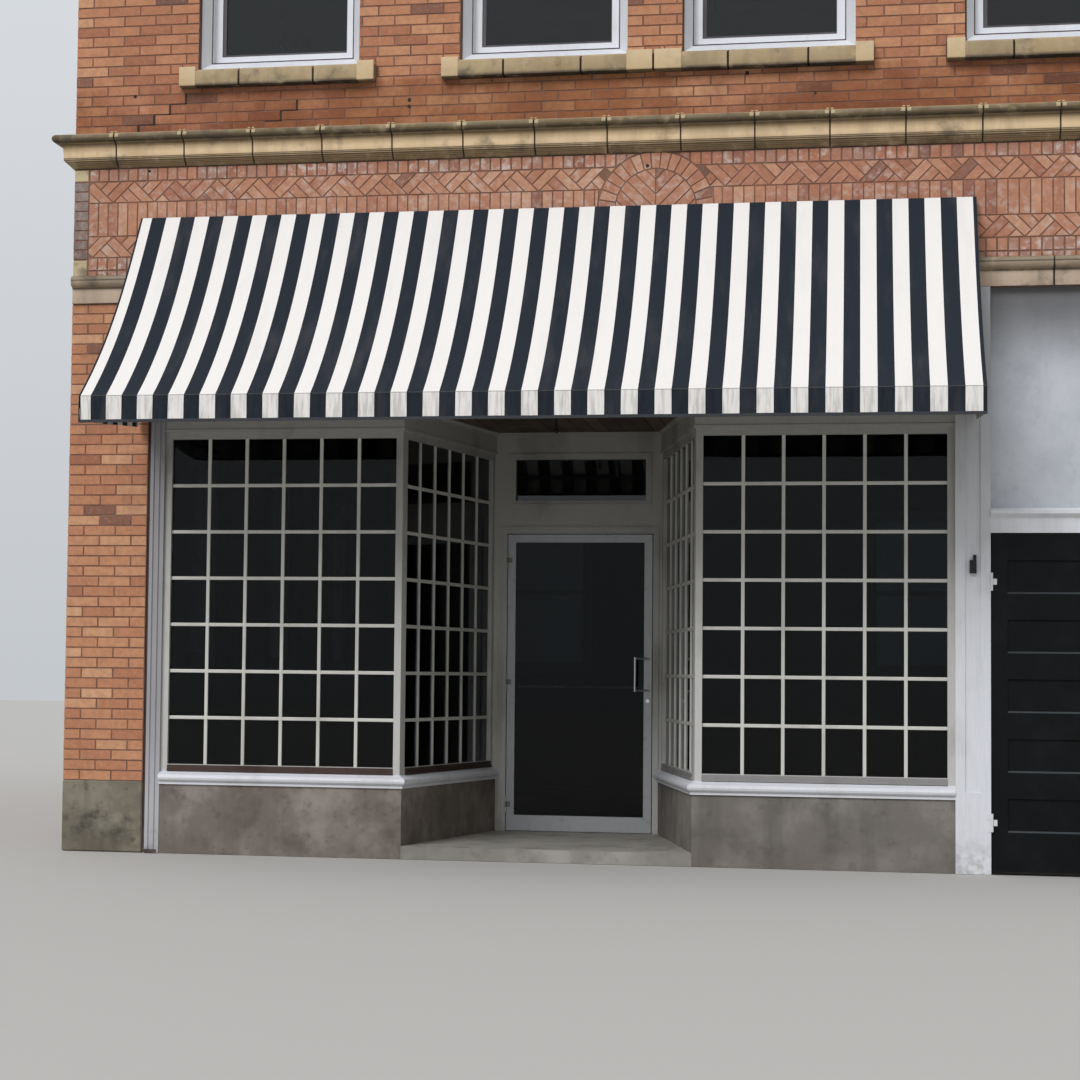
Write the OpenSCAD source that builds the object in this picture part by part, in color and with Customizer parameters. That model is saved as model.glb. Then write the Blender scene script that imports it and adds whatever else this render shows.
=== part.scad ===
// Two-storey brick corner shop with a splayed shopfront, a striped awning and stone mouldings.
// Millimetres, +Z up, the street front faces -Y, and the open corner of the street is at -X.
// The origin is at the centre of the footprint, on the underside of the ground floor.

/* [Building] */
// Width of the street front over the brick corners
building_w = 7560; // [7500:10:8400]
// Depth from the street front to the rear wall
building_d = 9000; // [7600:100:14000]
// Height of the whole building, to the top of the coping
building_h = 8296; // [8100:1:9600]
// Thickness of the brick walls
wall_t = 320; // [300:5:400]
// Height of one course of bricks with its joint
course_h = 66; // [62:1:72]
// Width of each brick pier at the ends of the front
pier_w = 532.5; // [450:0.5:600]
// Height of the concrete base of each pier
base_h = 456; // [300:1:600]
// How far the concrete base stands out of the brick face
base_proud = 6; // [2:1:40]
// Brick courses between the pier base and the lower moulding
pier_courses = 47; // [44:1:52]

/* [Front bands] */
// Height of the lower stone moulding
moulding_h = 178; // [150:1:260]
// How far the lower moulding stands out
moulding_proud = 58; // [40:1:140]
// Height of the patterned brick frieze
frieze_h = 712; // [600:1:800]
// Height of the string cornice and of the top cornice
cornice_h = 216; // [180:1:280]
// How far the string cornice stands out
cornice_proud = 126; // [100:1:220]
// Brick between the string cornice and the window sills
below_sill_h = 297; // [150:1:500]
// Brick between the window lintels and the top cornice
above_lintel_h = 528; // [200:1:900]
// Height of the parapet coping
coping_h = 90; // [50:1:150]
// How far the coping reaches past the wall on each side
coping_proud = 40; // [10:1:80]

/* [Upper windows] */
// Width of a window opening
window_w = 1072; // [800:1:1100]
// Height of a window opening
window_h = 1650; // [1300:10:1800]
// Brick between the front's corner and its first window
window_edge_w = 826; // [780:1:900]
// Brick between the windows of the middle pair
window_pair_gap = 344; // [280:1:400]
// How far right of the front's middle its windows are centred
window_shift = 22; // [-40:1:40]
// Height of a stone sill
sill_h = 125; // [90:1:150]
// How far a sill stands out of the wall
sill_proud = 70; // [30:1:110]
// How far a sill or lintel reaches past the opening on each side
stone_ear = 110; // [60:1:130]
// Height of a stone lintel
lintel_h = 198; // [130:1:260]
// How far a lintel stands out of the wall
lintel_proud = 15; // [5:1:40]
// Depth of the brick reveal in front of a window frame
window_reveal = 100; // [60:1:140]
// Width of the canted casing between the brick and a window frame
window_casing_w = 58; // [40:1:64]
// Set-back of the canted casing from the brick face
window_casing_back = 12; // [0:1:30]
// Face width of the outer window frame
window_frame_w = 66; // [65:1:90]
// Face width of a sash rail or stile
sash_w = 50; // [30:1:60]
// Thickness of one sash
sash_t = 40; // [30:1:45]
// Depth of the stop in front of the outer sash and behind the inner one
sash_stop = 10; // [5:1:20]
// Windows in each row of the side wall
side_windows = 3; // [2:1:3]
// Windows in each row of the rear wall
rear_windows = 2; // [2:1:3]
// Height of the openings of the lower side windows over the ground
side_window_z = 1180; // [900:10:1400]

/* [Floors] */
// Height of the shop floor over the ground
floor_h = 80; // [60:1:150]
// Underside of the upper floor over the lower moulding
upper_floor_up = 188; // [20:1:260]
// Thickness of the upper floor
upper_floor_t = 250; // [150:10:300]
// Thickness of the roof deck
roof_t = 220; // [120:10:300]
// Drop of the roof surface below the parapet coping
parapet_depth = 740; // [400:10:900]

/* [Shopfront] */
// Width of the left pilaster
left_pilaster_w = 87.5; // [70:0.5:140]
// Width of the right pilaster
right_pilaster_w = 209; // [180:1:230]
// Half width of the entry recess at the street
recess_half_w = 912; // [850:1:1000]
// Half width of the entry recess at the door
recess_back_half_w = 567; // [560:1:620]
// Depth of the entry recess
recess_d = 1600; // [1200:10:1900]
// Thickness of the rendered bulkhead
bulkhead_t = 150; // [100:5:200]
// Height of the bulkhead
bulkhead_h = 442; // [350:1:550]
// Height of the display sill moulding
display_sill_h = 83; // [60:1:110]
// How far the display sill stands out of the bulkhead
display_sill_proud = 34; // [20:1:45]
// Height of the head board over the display frames
display_head_h = 150; // [100:1:200]
// Face width of a display frame post or rail
display_frame_w = 45; // [35:1:60]
// Width of a display frame's corner post, on the street side
corner_post_w = 60; // [50:1:90]
// Thickness of a display frame
display_frame_t = 60; // [45:1:80]
// Set-back of the display frame from the bulkhead face
display_frame_back = 20; // [5:1:40]
// Thickness of the plate glass
glass_t = 8; // [6:1:12]
// Thickness of the recess soffit
soffit_t = 30; // [20:1:50]
// Thickness of the display deck behind the glass
deck_t = 30; // [20:1:50]
// How far pilasters and casings stand out of the brick face
casing_proud = 20; // [5:1:40]
// Thickness of pilasters and casings
casing_t = 80; // [60:1:100]
// Width of the sunk panel in the right pilaster
pilaster_panel_w = 92; // [60:1:110]
// Depth of the sunk panel in the right pilaster
pilaster_panel_sink = 10; // [5:1:15]
// Height of the block at the foot of each pilaster
pilaster_foot_h = 490; // [300:5:600]
// Gap between the left pilaster and the brick pier
pilaster_gap = 24; // [0:1:40]
// How far the stop that fills this gap is set back from the brick face
pilaster_stop_back = 12; // [5:1:25]
// Set-back of the panel behind the awning
transom_panel_back = 30; // [0:1:60]
// Thickness of painted panels
panel_t = 30; // [20:1:50]

/* [Shop door] */
// Width of the glazed door leaf
shop_door_w = 1010; // [950:1:1015]
// How far the door and its transom light sit to the right of the middle of the recess
shop_door_shift = 15; // [0:1:20]
// Height of the glazed door leaf
shop_door_h = 2060; // [1950:5:2100]
// Thickness of the glazed door leaf
shop_door_t = 45; // [35:1:55]
// Face width of a stile of the leaf
door_stile_w = 55; // [45:1:90]
// Height of the bottom rail of the leaf
door_bottom_rail_h = 107; // [80:1:250]
// Clearance round a door leaf
door_gap = 6; // [5:0.5:10]
// Depth of the door frame
door_frame_t = 110; // [80:1:150]
// How far the door frame reaches past the recess corner on each side
door_frame_lap = 90; // [80:1:120]
// Width of the transom light
transom_w = 913; // [800:1:960]
// Height of the transom light
transom_h = 291; // [200:1:320]
// Height of the board between the door and the transom light
transom_board_h = 230; // [180:1:260]
// Height of the board between the transom light and the soffit
transom_head_h = 188; // [150:1:220]
// Width of the raised beads round the door and the transom light
bead_w = 20; // [12:1:24]
// How far the raised beads stand out
bead_proud = 10; // [5:1:16]
// Height of the push bar over the foot of the leaf
push_bar_z = 1000; // [850:5:1100]
// Height of the middle of the pull handle over the foot of the leaf
pull_z = 1091; // [900:1:1200]
// Height of the pull handle
pull_h = 238; // [180:1:300]
// How far the pull handle and the push bar stand off the leaf
pull_off = 55; // [40:1:70]
// Radius of the pull handle's bar
pull_r = 9; // [7:0.5:12]
// How far the grip of the pull handle stands from its stile towards the glass
pull_side = 84; // [0:1:120]
// Height of the lock over the foot of the leaf
lock_z = 909; // [800:1:1000]
// Distance of the outer hinges from the ends of the glazed leaf
shop_hinge_inset = 180; // [120:5:260]

/* [Side door] */
// Width of the panelled door leaf
side_door_w = 1000; // [900:1:1010]
// Height of the panelled door leaf
side_door_h = 2030; // [1950:5:2080]
// Thickness of the panelled door leaf
side_door_t = 45; // [35:1:55]
// Height of the panelled leaf over the ground
side_door_z = 20; // [10:1:40]
// Number of panels in the leaf
side_panels = 5; // [3:1:6]
// Height of one panel
side_panel_h = 204; // [150:1:220]
// Depth of the panels in the leaf
side_panel_sink = 14; // [8:1:18]
// Width of a stile of the panelled leaf
side_stile_w = 92; // [70:1:120]
// Height of the top rail of the panelled leaf
side_top_rail_h = 160; // [120:1:200]
// Width of the casing between the leaf and the right pier
side_casing_w = 162.5; // [120:0.5:200]
// Height of the casing over the leaf
side_head_h = 150; // [100:1:200]
// Height of the knob over the foot of the panelled leaf
knob_z = 920; // [850:5:1100]
// Distance of the hinges from the ends of the panelled leaf
side_hinge_inset = 290; // [150:5:400]
// How far the moulding on the side door head stands out
side_head_proud = 30; // [10:1:50]
// Height of the moulding on the side door head
side_head_moulding_h = 60; // [40:1:80]
// Radius of the knob
knob_r = 24; // [20:1:30]
// Distance of the knob's centre from the leaf
knob_off = 50; // [40:1:60]

/* [Hinges] */
// Radius of a hinge knuckle
knuckle_r = 7; // [6:0.5:9]
// Height of one hinge
hinge_h = 110; // [90:1:130]
// Clearance between knuckles
knuckle_gap = 0.3; // [0.2:0.1:0.5]
// Thickness of a hinge leaf
hinge_leaf_t = 3; // [2:0.5:4]
// Width of a hinge leaf
hinge_leaf_w = 30; // [20:1:35]

/* [Awning] */
// How far the awning reaches past the left end of the shopfront
awning_over_left = 178; // [120:1:220]
// How far the awning reaches past the right end of the shopfront
awning_over_right = 128; // [40:1:160]
// Height of the awning's top edge over the lower moulding
awning_up = 373; // [200:1:400]
// Drop of the sloping cloth
awning_drop = 1300; // [1200:1:1350]
// Reach of the awning from the brick face
awning_reach = 1160; // [1000:1:1400]
// Height of the hanging valance
valance_h = 153; // [100:1:200]
// How much higher the foot of a wing ends at the wall than at the valance
wing_rise = 88; // [0:1:120]
// Thickness of the cloth solids
cloth_t = 6; // [4:1:10]
// Side of a square frame tube
tube = 25; // [20:1:32]
// Distance of the cloth's top edge from the brick face
awning_standoff = 32; // [30:1:60]
// Number of rafters under the cloth
rafters = 7; // [4:1:9]
// How much of the cloth's reach comes from its bend towards the eave
awning_bend = 0.25; // [0:0.01:0.5]
// Flat lengths that draw the bend
awning_steps = 10; // [6:1:16]

/* [Small iron] */
// Height of the bracket on the right pilaster
bracket_z = 1850; // [1500:10:2200]
// Size of the bracket's box
bracket_w = 40; // [25:1:60]
// Distance of the soffit hook from the street
hook_back = 400; // [200:10:800]
// Length of the soffit hook
hook_h = 120; // [60:5:160]

/* [Hidden] */
$fn = 32;
// Play left where two pieces only just meet
seat = 0.3;
// Overlap of cutting tools past the faces that they cut
cut = 5;
// Flat lengths that draw each quarter round or roll in a moulding
profile_steps = 6;
half_w = building_w / 2;
inner_half_w = half_w - wall_t;
rear_y = building_d - wall_t;
moulding_z = base_h + pier_courses * course_h;
frieze_z = moulding_z + moulding_h;
cornice_z = frieze_z + frieze_h;
upper_z = cornice_z + cornice_h;
sill_z = upper_z + below_sill_h;
window_z = sill_z + sill_h;
lintel_z = window_z + window_h;
top_cornice_z = lintel_z + lintel_h + above_lintel_h;
parapet_top = building_h - coping_h;
roof_z = parapet_top - parapet_depth;
front_window_x = [window_edge_w + window_w / 2 - half_w,
    window_shift - window_pair_gap / 2 - window_w / 2,
    window_shift + window_pair_gap / 2 + window_w / 2,
    2 * window_shift + half_w - window_edge_w - window_w / 2];
pier_inner_x = half_w - pier_w;
shop_left_x = -pier_inner_x + pilaster_gap + left_pilaster_w;
side_casing_x = pier_inner_x - side_casing_w;
bay_post_x = side_casing_x - side_door_w - 2 * door_gap;
shop_right_x = bay_post_x - right_pilaster_w;
shop_x = (shop_left_x + shop_right_x) / 2;
shop_half_w = (shop_right_x - shop_left_x) / 2;
upper_floor_z = frieze_z + upper_floor_up;
// Angle between the splayed side of the recess and the line into the building
splay = atan((recess_half_w - recess_back_half_w) / recess_d);
display_z = bulkhead_h + display_sill_h;
side_head_z = side_door_z + side_door_h + door_gap;
shop_door_z = floor_h + door_gap;
shop_door_mid_x = shop_x + shop_door_shift;
shop_door_x = shop_door_mid_x - shop_door_w / 2;
shop_door_y = recess_d;
door_head_z = shop_door_z + shop_door_h + door_gap;
transom_z = door_head_z + transom_board_h;
soffit_z = transom_z + transom_h + transom_head_h;
display_top_z = soffit_z - display_head_h;
knuckle_out = knuckle_r + hinge_leaf_t - 1;
awning_x0 = shop_left_x - awning_over_left;
awning_x1 = shop_right_x + awning_over_right;
awning_w = awning_x1 - awning_x0;
awning_top_z = frieze_z + awning_up;
awning_slope_reach = awning_reach - awning_standoff;
eave_z = awning_top_z - awning_drop;
valance_z = eave_z - valance_h;

// Everything that is measured from the brick face of the street front
module on_front() {
    translate([0, -building_d / 2, 0]) children();
}

module block(x0, x1, y0, y1, z0, z1) {
    translate([x0, y0, z0]) cube([x1 - x0, y1 - y0, z1 - z0]);
}

// Places of the windows: the front row, both rows of the left side and both rows of the rear.
// A child is drawn for an opening centred on X = 0, with its wall face at Y = 0 and its sill at Z = 0.
module at_front_windows() {
    for (x = front_window_x) translate([x, 0, window_z]) children();
}

module at_left_windows() {
    for (i = [0 : side_windows - 1], z = [side_window_z, window_z])
        translate([-half_w, building_d * (i + 1) / (side_windows + 1), z]) rotate([0, 0, -90]) children();
}

module at_rear_windows() {
    for (i = [0 : rear_windows - 1], z = [side_window_z, window_z])
        translate([building_w * ((i + 0.5) / rear_windows - 0.5), building_d, z])
            rotate([0, 0, 180]) children();
}

module window_hole() {
    block(-window_w / 2, window_w / 2, -cut, wall_t + cut, 0, window_h);
}

// One line of the display bay seen from above, moved in from the bulkhead face by d.
// It runs from the pilaster to the recess corner and along the splay to the door.
function bay_line(d) = [
    [-shop_half_w, d],
    [-recess_half_w - d * (1 - sin(splay)) / cos(splay), d],
    [-recess_back_half_w - d / cos(splay), recess_d]];

// A band that follows the bay, from d0 to d1 behind the bulkhead face
module bay_band(d0, d1, z0, z1) {
    far = bay_line(d1);
    translate([0, 0, z0]) linear_extrude(z1 - z0)
        polygon(concat(bay_line(d0), [far[2], far[1], far[0]]));
}

// The left edge of the recess at the back of its bulkhead, and the part of the landing under the door frame
recess_side = [[bay_line(bulkhead_t)[1][0], 0], bay_line(bulkhead_t)[1], bay_line(bulkhead_t)[2]];
landing_back = [
    [recess_back_half_w + door_frame_lap, recess_d],
    [recess_back_half_w + door_frame_lap, recess_d + door_frame_t],
    [-recess_back_half_w - door_frame_lap, recess_d + door_frame_t],
    [-recess_back_half_w - door_frame_lap, recess_d]];

module left_bay() {
    translate([shop_x, 0, 0]) children();
}

module right_bay() {
    translate([shop_x, 0, 0]) mirror([1, 0, 0]) children();
}

// A moulding that follows the bay in two lengths with a mitre joint at the recess corner.
// The child is an outline with X = depth behind the bulkhead face, from front to back, and Y = height.
module bay_moulding(front, back) {
    near = bay_line(front - cut);
    far = bay_line(back + cut);
    for (leg = [0, 1]) {
        from = bay_line(0)[leg];
        to = bay_line(0)[leg + 1];
        run = norm(to - from);
        half_joint = [(leg - 0.5) * seat, 0];
        mitre = [near[1] + half_joint, far[1] + half_joint];
        intersection() {
            translate(from) rotate([0, 0, atan2(to[1] - from[1], to[0] - from[0])])
                awning_plate(-run, 2 * run) children();
            linear_extrude(moulding_z)
                polygon([mitre[0], near[2 * leg], far[2 * leg], mitre[1]]);
        }
    }
}

module both_bays() {
    left_bay() children();
    right_bay() children();
}

// Ends and corner of the display frame, as seen from above, where posts stand
module bay_posts_zone(z0, z1) {
    block(-shop_half_w - cut, -shop_half_w + display_frame_w, -cut, recess_d / 4, z0, z1);
    block(-recess_half_w - corner_post_w, -recess_half_w + cut,
        -cut, display_frame_back + display_frame_t + corner_post_w / 4, z0, z1);
    block(-recess_half_w, 0, recess_d - display_frame_w, recess_d + cut, z0, z1);
}

// The length of moulding that goes round the front and the left side, mitred at the corner.
// The child is an outline with X = how far out of the wall and Y = height.
module wrap_left_corner() {
    reach = 2 * cornice_proud;
    intersection() {
        translate([-half_w - reach, 0, 0]) rotate([90, 0, 90]) linear_extrude(building_w + reach)
            mirror([1, 0]) children();
        mitre_half(reach);
    }
    difference() {
        translate([-half_w, -reach, 0]) rotate([90, 0, 0]) mirror([0, 0, 1])
            linear_extrude(building_d + reach) mirror([1, 0]) children();
        mitre_half(reach);
    }
}

// The half of the corner that belongs to the front run
module mitre_half(reach) {
    translate([0, 0, -building_w]) linear_extrude(3 * building_w)
        polygon([[-half_w, 0], [-half_w - 2 * reach, -2 * reach], [half_w + reach, -2 * reach],
            [half_w + reach, 0]]);
}

// Points of a quarter round from one corner to another. A full one leaves its start along X,
// a hollow one along Y.
function quarter(a, b, hollow = false) = [for (i = [0 : profile_steps])
    let (t = 90 * i / profile_steps)
    hollow ? [a[0] + (b[0] - a[0]) * (1 - cos(t)), a[1] + (b[1] - a[1]) * sin(t)]
        : [a[0] + (b[0] - a[0]) * sin(t), a[1] + (b[1] - a[1]) * (1 - cos(t))]];

// Outline of the string cornice: a raking bed mould, two fillets, a steep cove and an undercut roll
// with a weathered top
module cornice_outline(out, h) {
    polygon(concat(
        [[0, 0], [0.08 * out, 0], [0.42 * out, 0.20 * h], [0.46 * out, 0.20 * h], [0.46 * out, 0.24 * h],
            [0.50 * out, 0.24 * h], [0.50 * out, 0.29 * h]],
        quarter([0.50 * out, 0.29 * h], [0.60 * out, 0.68 * h], true),
        [[0.66 * out, 0.68 * h], [0.66 * out, 0.72 * h]],
        [for (i = [0 : profile_steps]) let (t = -80 + 150 * i / profile_steps)
            [0.80 * out + 0.20 * out * cos(t), 0.86 * h + 0.125 * h * sin(t)]],
        [[0.72 * out, h], [0, h]]));
}

// Outline of the lower moulding: a plain fascia under a rounded cap
module moulding_outline(out, h) {
    polygon(concat(
        [[0, 0], [0.35 * out, 0], [0.35 * out, 0.56 * h], [0.55 * out, 0.60 * h]],
        quarter([0.55 * out, 0.60 * h], [out, 0.82 * h]),
        [[out, 0.92 * h], [0.80 * out, h], [0, h]]));
}

// Outline of a sill: a sloping top with a square nose
module sill_outline(out, back, h) {
    polygon([[out, 0], [out, 0.80 * h], [0, h], [-back, h], [-back, 0]]);
}

// Curve of the awning: q runs from 0 at the wall to 1 at the eave
function awning_out(q) = (1 - awning_bend) * q + awning_bend * pow(q, 3);
function awning_rise(q) = (1 - awning_bend) + 3 * awning_bend * pow(q, 2);
function awning_point(q, inset) =
    let (run = awning_slope_reach * awning_rise(q), n = sqrt(run * run + awning_drop * awning_drop))
    [-(awning_standoff + awning_slope_reach * awning_out(q)) + inset * awning_drop / n,
        awning_top_z - awning_drop * q - inset * run / n];
function awning_curve(inset) = [for (i = [0 : awning_steps]) awning_point(i / awning_steps, inset)];
function backwards(list) = [for (i = [len(list) - 1 : -1 : 0]) list[i]];

// Draws an outline of the awning's side, Y and Z, as a plate from x0 to x1
module awning_plate(x0, x1) {
    translate([x0, 0, 0]) rotate([90, 0, 90]) linear_extrude(x1 - x0) children();
}

// Brickwork of the front

module left_pier() {
    color("#C07A52") on_front() block(-half_w, -pier_inner_x, 0, wall_t, base_h, moulding_z);
}

module right_pier() {
    color("#C07A52") on_front() block(pier_inner_x, half_w, 0, wall_t, base_h, moulding_z);
}

module pier_bases() {
    color("#9A948B") on_front() {
        block(-half_w - base_proud, -pier_inner_x, -base_proud, pier_w, 0, base_h);
        block(pier_inner_x, half_w, -base_proud, wall_t, 0, base_h);
    }
}

module frieze_wall() {
    color("#C07A52") on_front() block(-half_w, half_w, 0, wall_t, moulding_z, cornice_z);
}

module upper_front_wall() {
    color("#C07A52") on_front() difference() {
        block(-half_w, half_w, 0, wall_t, cornice_z, parapet_top);
        at_front_windows() window_hole();
        front_stones();
    }
}

// Sills and lintels, which also cut their own beds in the wall
module front_stones() {
    front_sill_stones();
    front_lintel_stones();
}

module sill_stone(w) {
    rotate([90, 0, 90]) translate([0, 0, -w / 2]) linear_extrude(w) mirror([1, 0])
        translate([0, -sill_h]) sill_outline(sill_proud, window_reveal, sill_h);
}

module front_sill_stones() {
    end_w = window_w + 2 * stone_ear;
    translate([front_window_x[0], 0, window_z]) sill_stone(end_w);
    translate([front_window_x[3], 0, window_z]) sill_stone(end_w);
    translate([window_shift, 0, window_z]) sill_stone(2 * window_w + window_pair_gap + 2 * stone_ear);
}

module front_lintel_stones() {
    for (x = [front_window_x[0], front_window_x[3]])
        translate([x, 0, lintel_z]) lintel_stone(window_w + 2 * stone_ear);
    translate([window_shift, 0, lintel_z]) lintel_stone(2 * window_w + window_pair_gap + 2 * stone_ear);
}

module lintel_stone(w) {
    block(-w / 2, w / 2, -lintel_proud, window_reveal, 0, lintel_h);
}

module front_sills() {
    color("#C9B98A") on_front() front_sill_stones();
}

module front_lintels() {
    color("#C9B98A") on_front() front_lintel_stones();
}

// The other walls

module left_side_wall() {
    color("#C07A52") on_front() difference() {
        block(-half_w, -inner_half_w, wall_t, rear_y, 0, parapet_top);
        block(-half_w - cut, -inner_half_w + cut, wall_t - cut, pier_w, -cut, base_h);
        at_left_windows() window_hole();
        at_left_windows() window_stones();
    }
}

module party_wall() {
    color("#B5714D") on_front() block(inner_half_w, half_w, wall_t, rear_y, 0, parapet_top);
}

module rear_wall() {
    color("#B5714D") on_front() difference() {
        block(-half_w, half_w, rear_y, building_d, 0, parapet_top);
        at_rear_windows() window_hole();
        at_rear_windows() window_stones();
    }
}

module window_stones() {
    sill_stone(window_w + 2 * stone_ear);
    translate([0, 0, window_h]) lintel_stone(window_w + 2 * stone_ear);
}

module side_window_stones() {
    color("#C9B98A") on_front() {
        at_left_windows() window_stones();
        at_rear_windows() window_stones();
    }
}

// Stone bands

module lower_moulding() {
    color("#C9B98A") on_front() translate([-half_w, 0, moulding_z]) rotate([90, 0, 90])
        linear_extrude(building_w) mirror([1, 0]) moulding_outline(moulding_proud, moulding_h);
}

module string_cornice() {
    color("#C9B98A") on_front() translate([0, 0, cornice_z]) wrap_left_corner()
        cornice_outline(cornice_proud, cornice_h);
}

module top_cornice() {
    color("#C9B98A") on_front() translate([0, 0, top_cornice_z]) wrap_left_corner()
        cornice_outline(cornice_proud, cornice_h);
}

module parapet_coping() {
    color("#B9AC86") on_front() difference() {
        block(-half_w - coping_proud, half_w + coping_proud, -coping_proud, building_d + coping_proud,
            parapet_top, parapet_top + coping_h);
        block(-inner_half_w + coping_proud, inner_half_w - coping_proud,
            wall_t + coping_proud, rear_y - coping_proud,
            parapet_top - cut, parapet_top + coping_h + cut);
    }
}

// Floors and roof

module ground_floor() {
    color("#8A7F72") on_front() difference() {
        union() {
            block(-inner_half_w, inner_half_w, wall_t, rear_y, 0, floor_h);
            block(-pier_inner_x, pier_inner_x, bulkhead_t, wall_t + cut, 0, floor_h);
            block(bay_post_x, side_casing_x, casing_t - casing_proud, bulkhead_t + cut, 0, floor_h);
        }
        block(-half_w, -pier_inner_x, 0, pier_w, -cut, floor_h + cut);
        translate([shop_x, 0, -cut]) linear_extrude(floor_h + 2 * cut) {
            polygon(concat(backwards(recess_side), [for (p = recess_side) [-p[0], p[1]]]));
            polygon(landing_back);
        }
    }
}

module upper_floor() {
    color("#7A6049") on_front()
        block(-inner_half_w, inner_half_w, wall_t, rear_y, upper_floor_z, upper_floor_z + upper_floor_t);
}

module roof_deck() {
    color("#5B5B5C") on_front()
        block(-inner_half_w, inner_half_w, wall_t, rear_y, roof_z - roof_t, roof_z);
}

// Sash windows, drawn in their opening

module sash_ring(w, h) {
    difference() {
        block(-w / 2, w / 2, 0, sash_t, 0, h);
        block(-w / 2 + sash_w, w / 2 - sash_w, -cut, sash_t + cut, sash_w, h - sash_w);
    }
}

sash_inner_w = window_w - 2 * window_frame_w;
sash_h = (window_h - 2 * window_frame_w + sash_w) / 2;

// Four wedges that slope from the edge of the brick back to the window frame
module window_casing() {
    half = window_w / 2;
    for (side = [0, 1]) mirror([side, 0, 0]) linear_extrude(window_h)
        polygon([[-half, window_casing_back], [window_casing_w - half, window_reveal], [-half, window_reveal]]);
    awning_plate(-half, half) {
        polygon([[window_casing_back, 0], [window_reveal, window_casing_w], [window_reveal, 0]]);
        polygon([[window_casing_back, window_h], [window_reveal, window_h - window_casing_w],
            [window_reveal, window_h]]);
    }
}

module sash_window() {
    frame_t = 2 * (sash_t + sash_stop);
    window_casing();
    translate([0, window_reveal, 0]) {
        difference() {
            block(-window_w / 2, window_w / 2, 0, frame_t, 0, window_h);
            block(-sash_inner_w / 2, sash_inner_w / 2, -cut, frame_t + cut,
                window_frame_w, window_h - window_frame_w);
        }
        translate([0, sash_stop, window_h - window_frame_w - sash_h]) sash_ring(sash_inner_w, sash_h);
        translate([0, sash_stop + sash_t, window_frame_w]) sash_ring(sash_inner_w, sash_h);
    }
}

module sash_glass() {
    pane_w = sash_inner_w - 2 * sash_w;
    pane_h = sash_h - 2 * sash_w;
    mid = window_reveal + sash_stop + (sash_t - glass_t) / 2;
    block(-pane_w / 2, pane_w / 2, mid, mid + glass_t,
        window_h - window_frame_w - sash_w - pane_h, window_h - window_frame_w - sash_w);
    block(-pane_w / 2, pane_w / 2, mid + sash_t, mid + sash_t + glass_t,
        window_frame_w + sash_w, window_frame_w + sash_w + pane_h);
}

module front_window_frames() {
    color("#E4E4E2") on_front() at_front_windows() sash_window();
}

module front_window_glass() {
    color("#4A555C", 0.4) on_front() at_front_windows() sash_glass();
}

module side_window_frames() {
    color("#E4E4E2") on_front() {
        at_left_windows() sash_window();
        at_rear_windows() sash_window();
    }
}

module side_window_glass() {
    color("#4A555C", 0.4) on_front() {
        at_left_windows() sash_glass();
        at_rear_windows() sash_glass();
    }
}

// Shopfront

module left_bulkhead() {
    color("#A39C8F") on_front() left_bay() bay_band(0, bulkhead_t, 0, bulkhead_h);
}

module right_bulkhead() {
    color("#A39C8F") on_front() right_bay() bay_band(0, bulkhead_t, 0, bulkhead_h);
}

// Outline of the display sill: a bed fillet under a round nose and a sloping top
module display_sill_outline() {
    nose_r = 0.30 * display_sill_h;
    polygon(concat(
        [[bulkhead_t - seat, 0], [-0.35 * display_sill_proud, 0],
            [-0.35 * display_sill_proud, 0.18 * display_sill_h]],
        [for (i = [0 : profile_steps]) let (t = -90 + 180 * i / profile_steps)
            [-display_sill_proud + nose_r - nose_r * cos(t), 0.52 * display_sill_h + nose_r * sin(t)]],
        [[display_frame_back, display_sill_h], [bulkhead_t - seat, display_sill_h]]));
}

module display_sills() {
    color("#DADBD9") on_front() both_bays() translate([0, 0, bulkhead_h])
        bay_moulding(-display_sill_proud, bulkhead_t) display_sill_outline();
}

module display_frame() {
    back = display_frame_back + display_frame_t;
    difference() {
        bay_band(display_frame_back, back, display_z, display_top_z);
        difference() {
            bay_band(display_frame_back - cut, back + cut,
                display_z + display_frame_w, display_top_z - display_frame_w);
            bay_posts_zone(display_z, display_top_z);
        }
    }
}

module display_frames() {
    color("#D3D4D2") on_front() both_bays() display_frame();
}

module display_pane() {
    mid = display_frame_back + (display_frame_t - glass_t) / 2;
    difference() {
        bay_band(mid, mid + glass_t, display_z + display_frame_w, display_top_z - display_frame_w);
        bay_posts_zone(display_z, display_top_z);
    }
}

module display_glass() {
    color("#4A555C", 0.4) on_front() both_bays() display_pane();
}

module display_decks() {
    color("#8C7B66") on_front() both_bays() translate([0, 0, display_z - deck_t])
        linear_extrude(deck_t) polygon(concat(bay_line(bulkhead_t), [[-shop_half_w, recess_d]]));
}

// Outline of the head board: a bead at its foot, a flat board and a bed mould under the soffit
module display_head_outline() {
    back = display_frame_back + display_frame_t;
    polygon(concat(
        [[back, 0], [0.2 * display_frame_back, 0], [0.2 * display_frame_back, 0.12 * display_head_h],
            [0.5 * display_frame_back, 0.14 * display_head_h],
            [0.5 * display_frame_back, 0.80 * display_head_h]],
        quarter([0.5 * display_frame_back, 0.80 * display_head_h],
            [-0.5 * display_frame_back, 0.96 * display_head_h], true),
        [[-0.5 * display_frame_back, display_head_h], [back, display_head_h]]));
}

module shopfront_head() {
    color("#CFD0CE") on_front() both_bays() translate([0, 0, display_top_z])
        bay_moulding(-display_frame_back, display_frame_back + display_frame_t) display_head_outline();
}

module recess_soffit() {
    color("#7A6250") on_front() block(shop_left_x, shop_right_x, 0, recess_d + door_frame_t,
        soffit_z, soffit_z + soffit_t);
}

module transom_panel() {
    color("#C9CAC8") on_front() block(shop_left_x, shop_right_x, transom_panel_back,
        transom_panel_back + panel_t, soffit_z + soffit_t, moulding_z);
}

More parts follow.
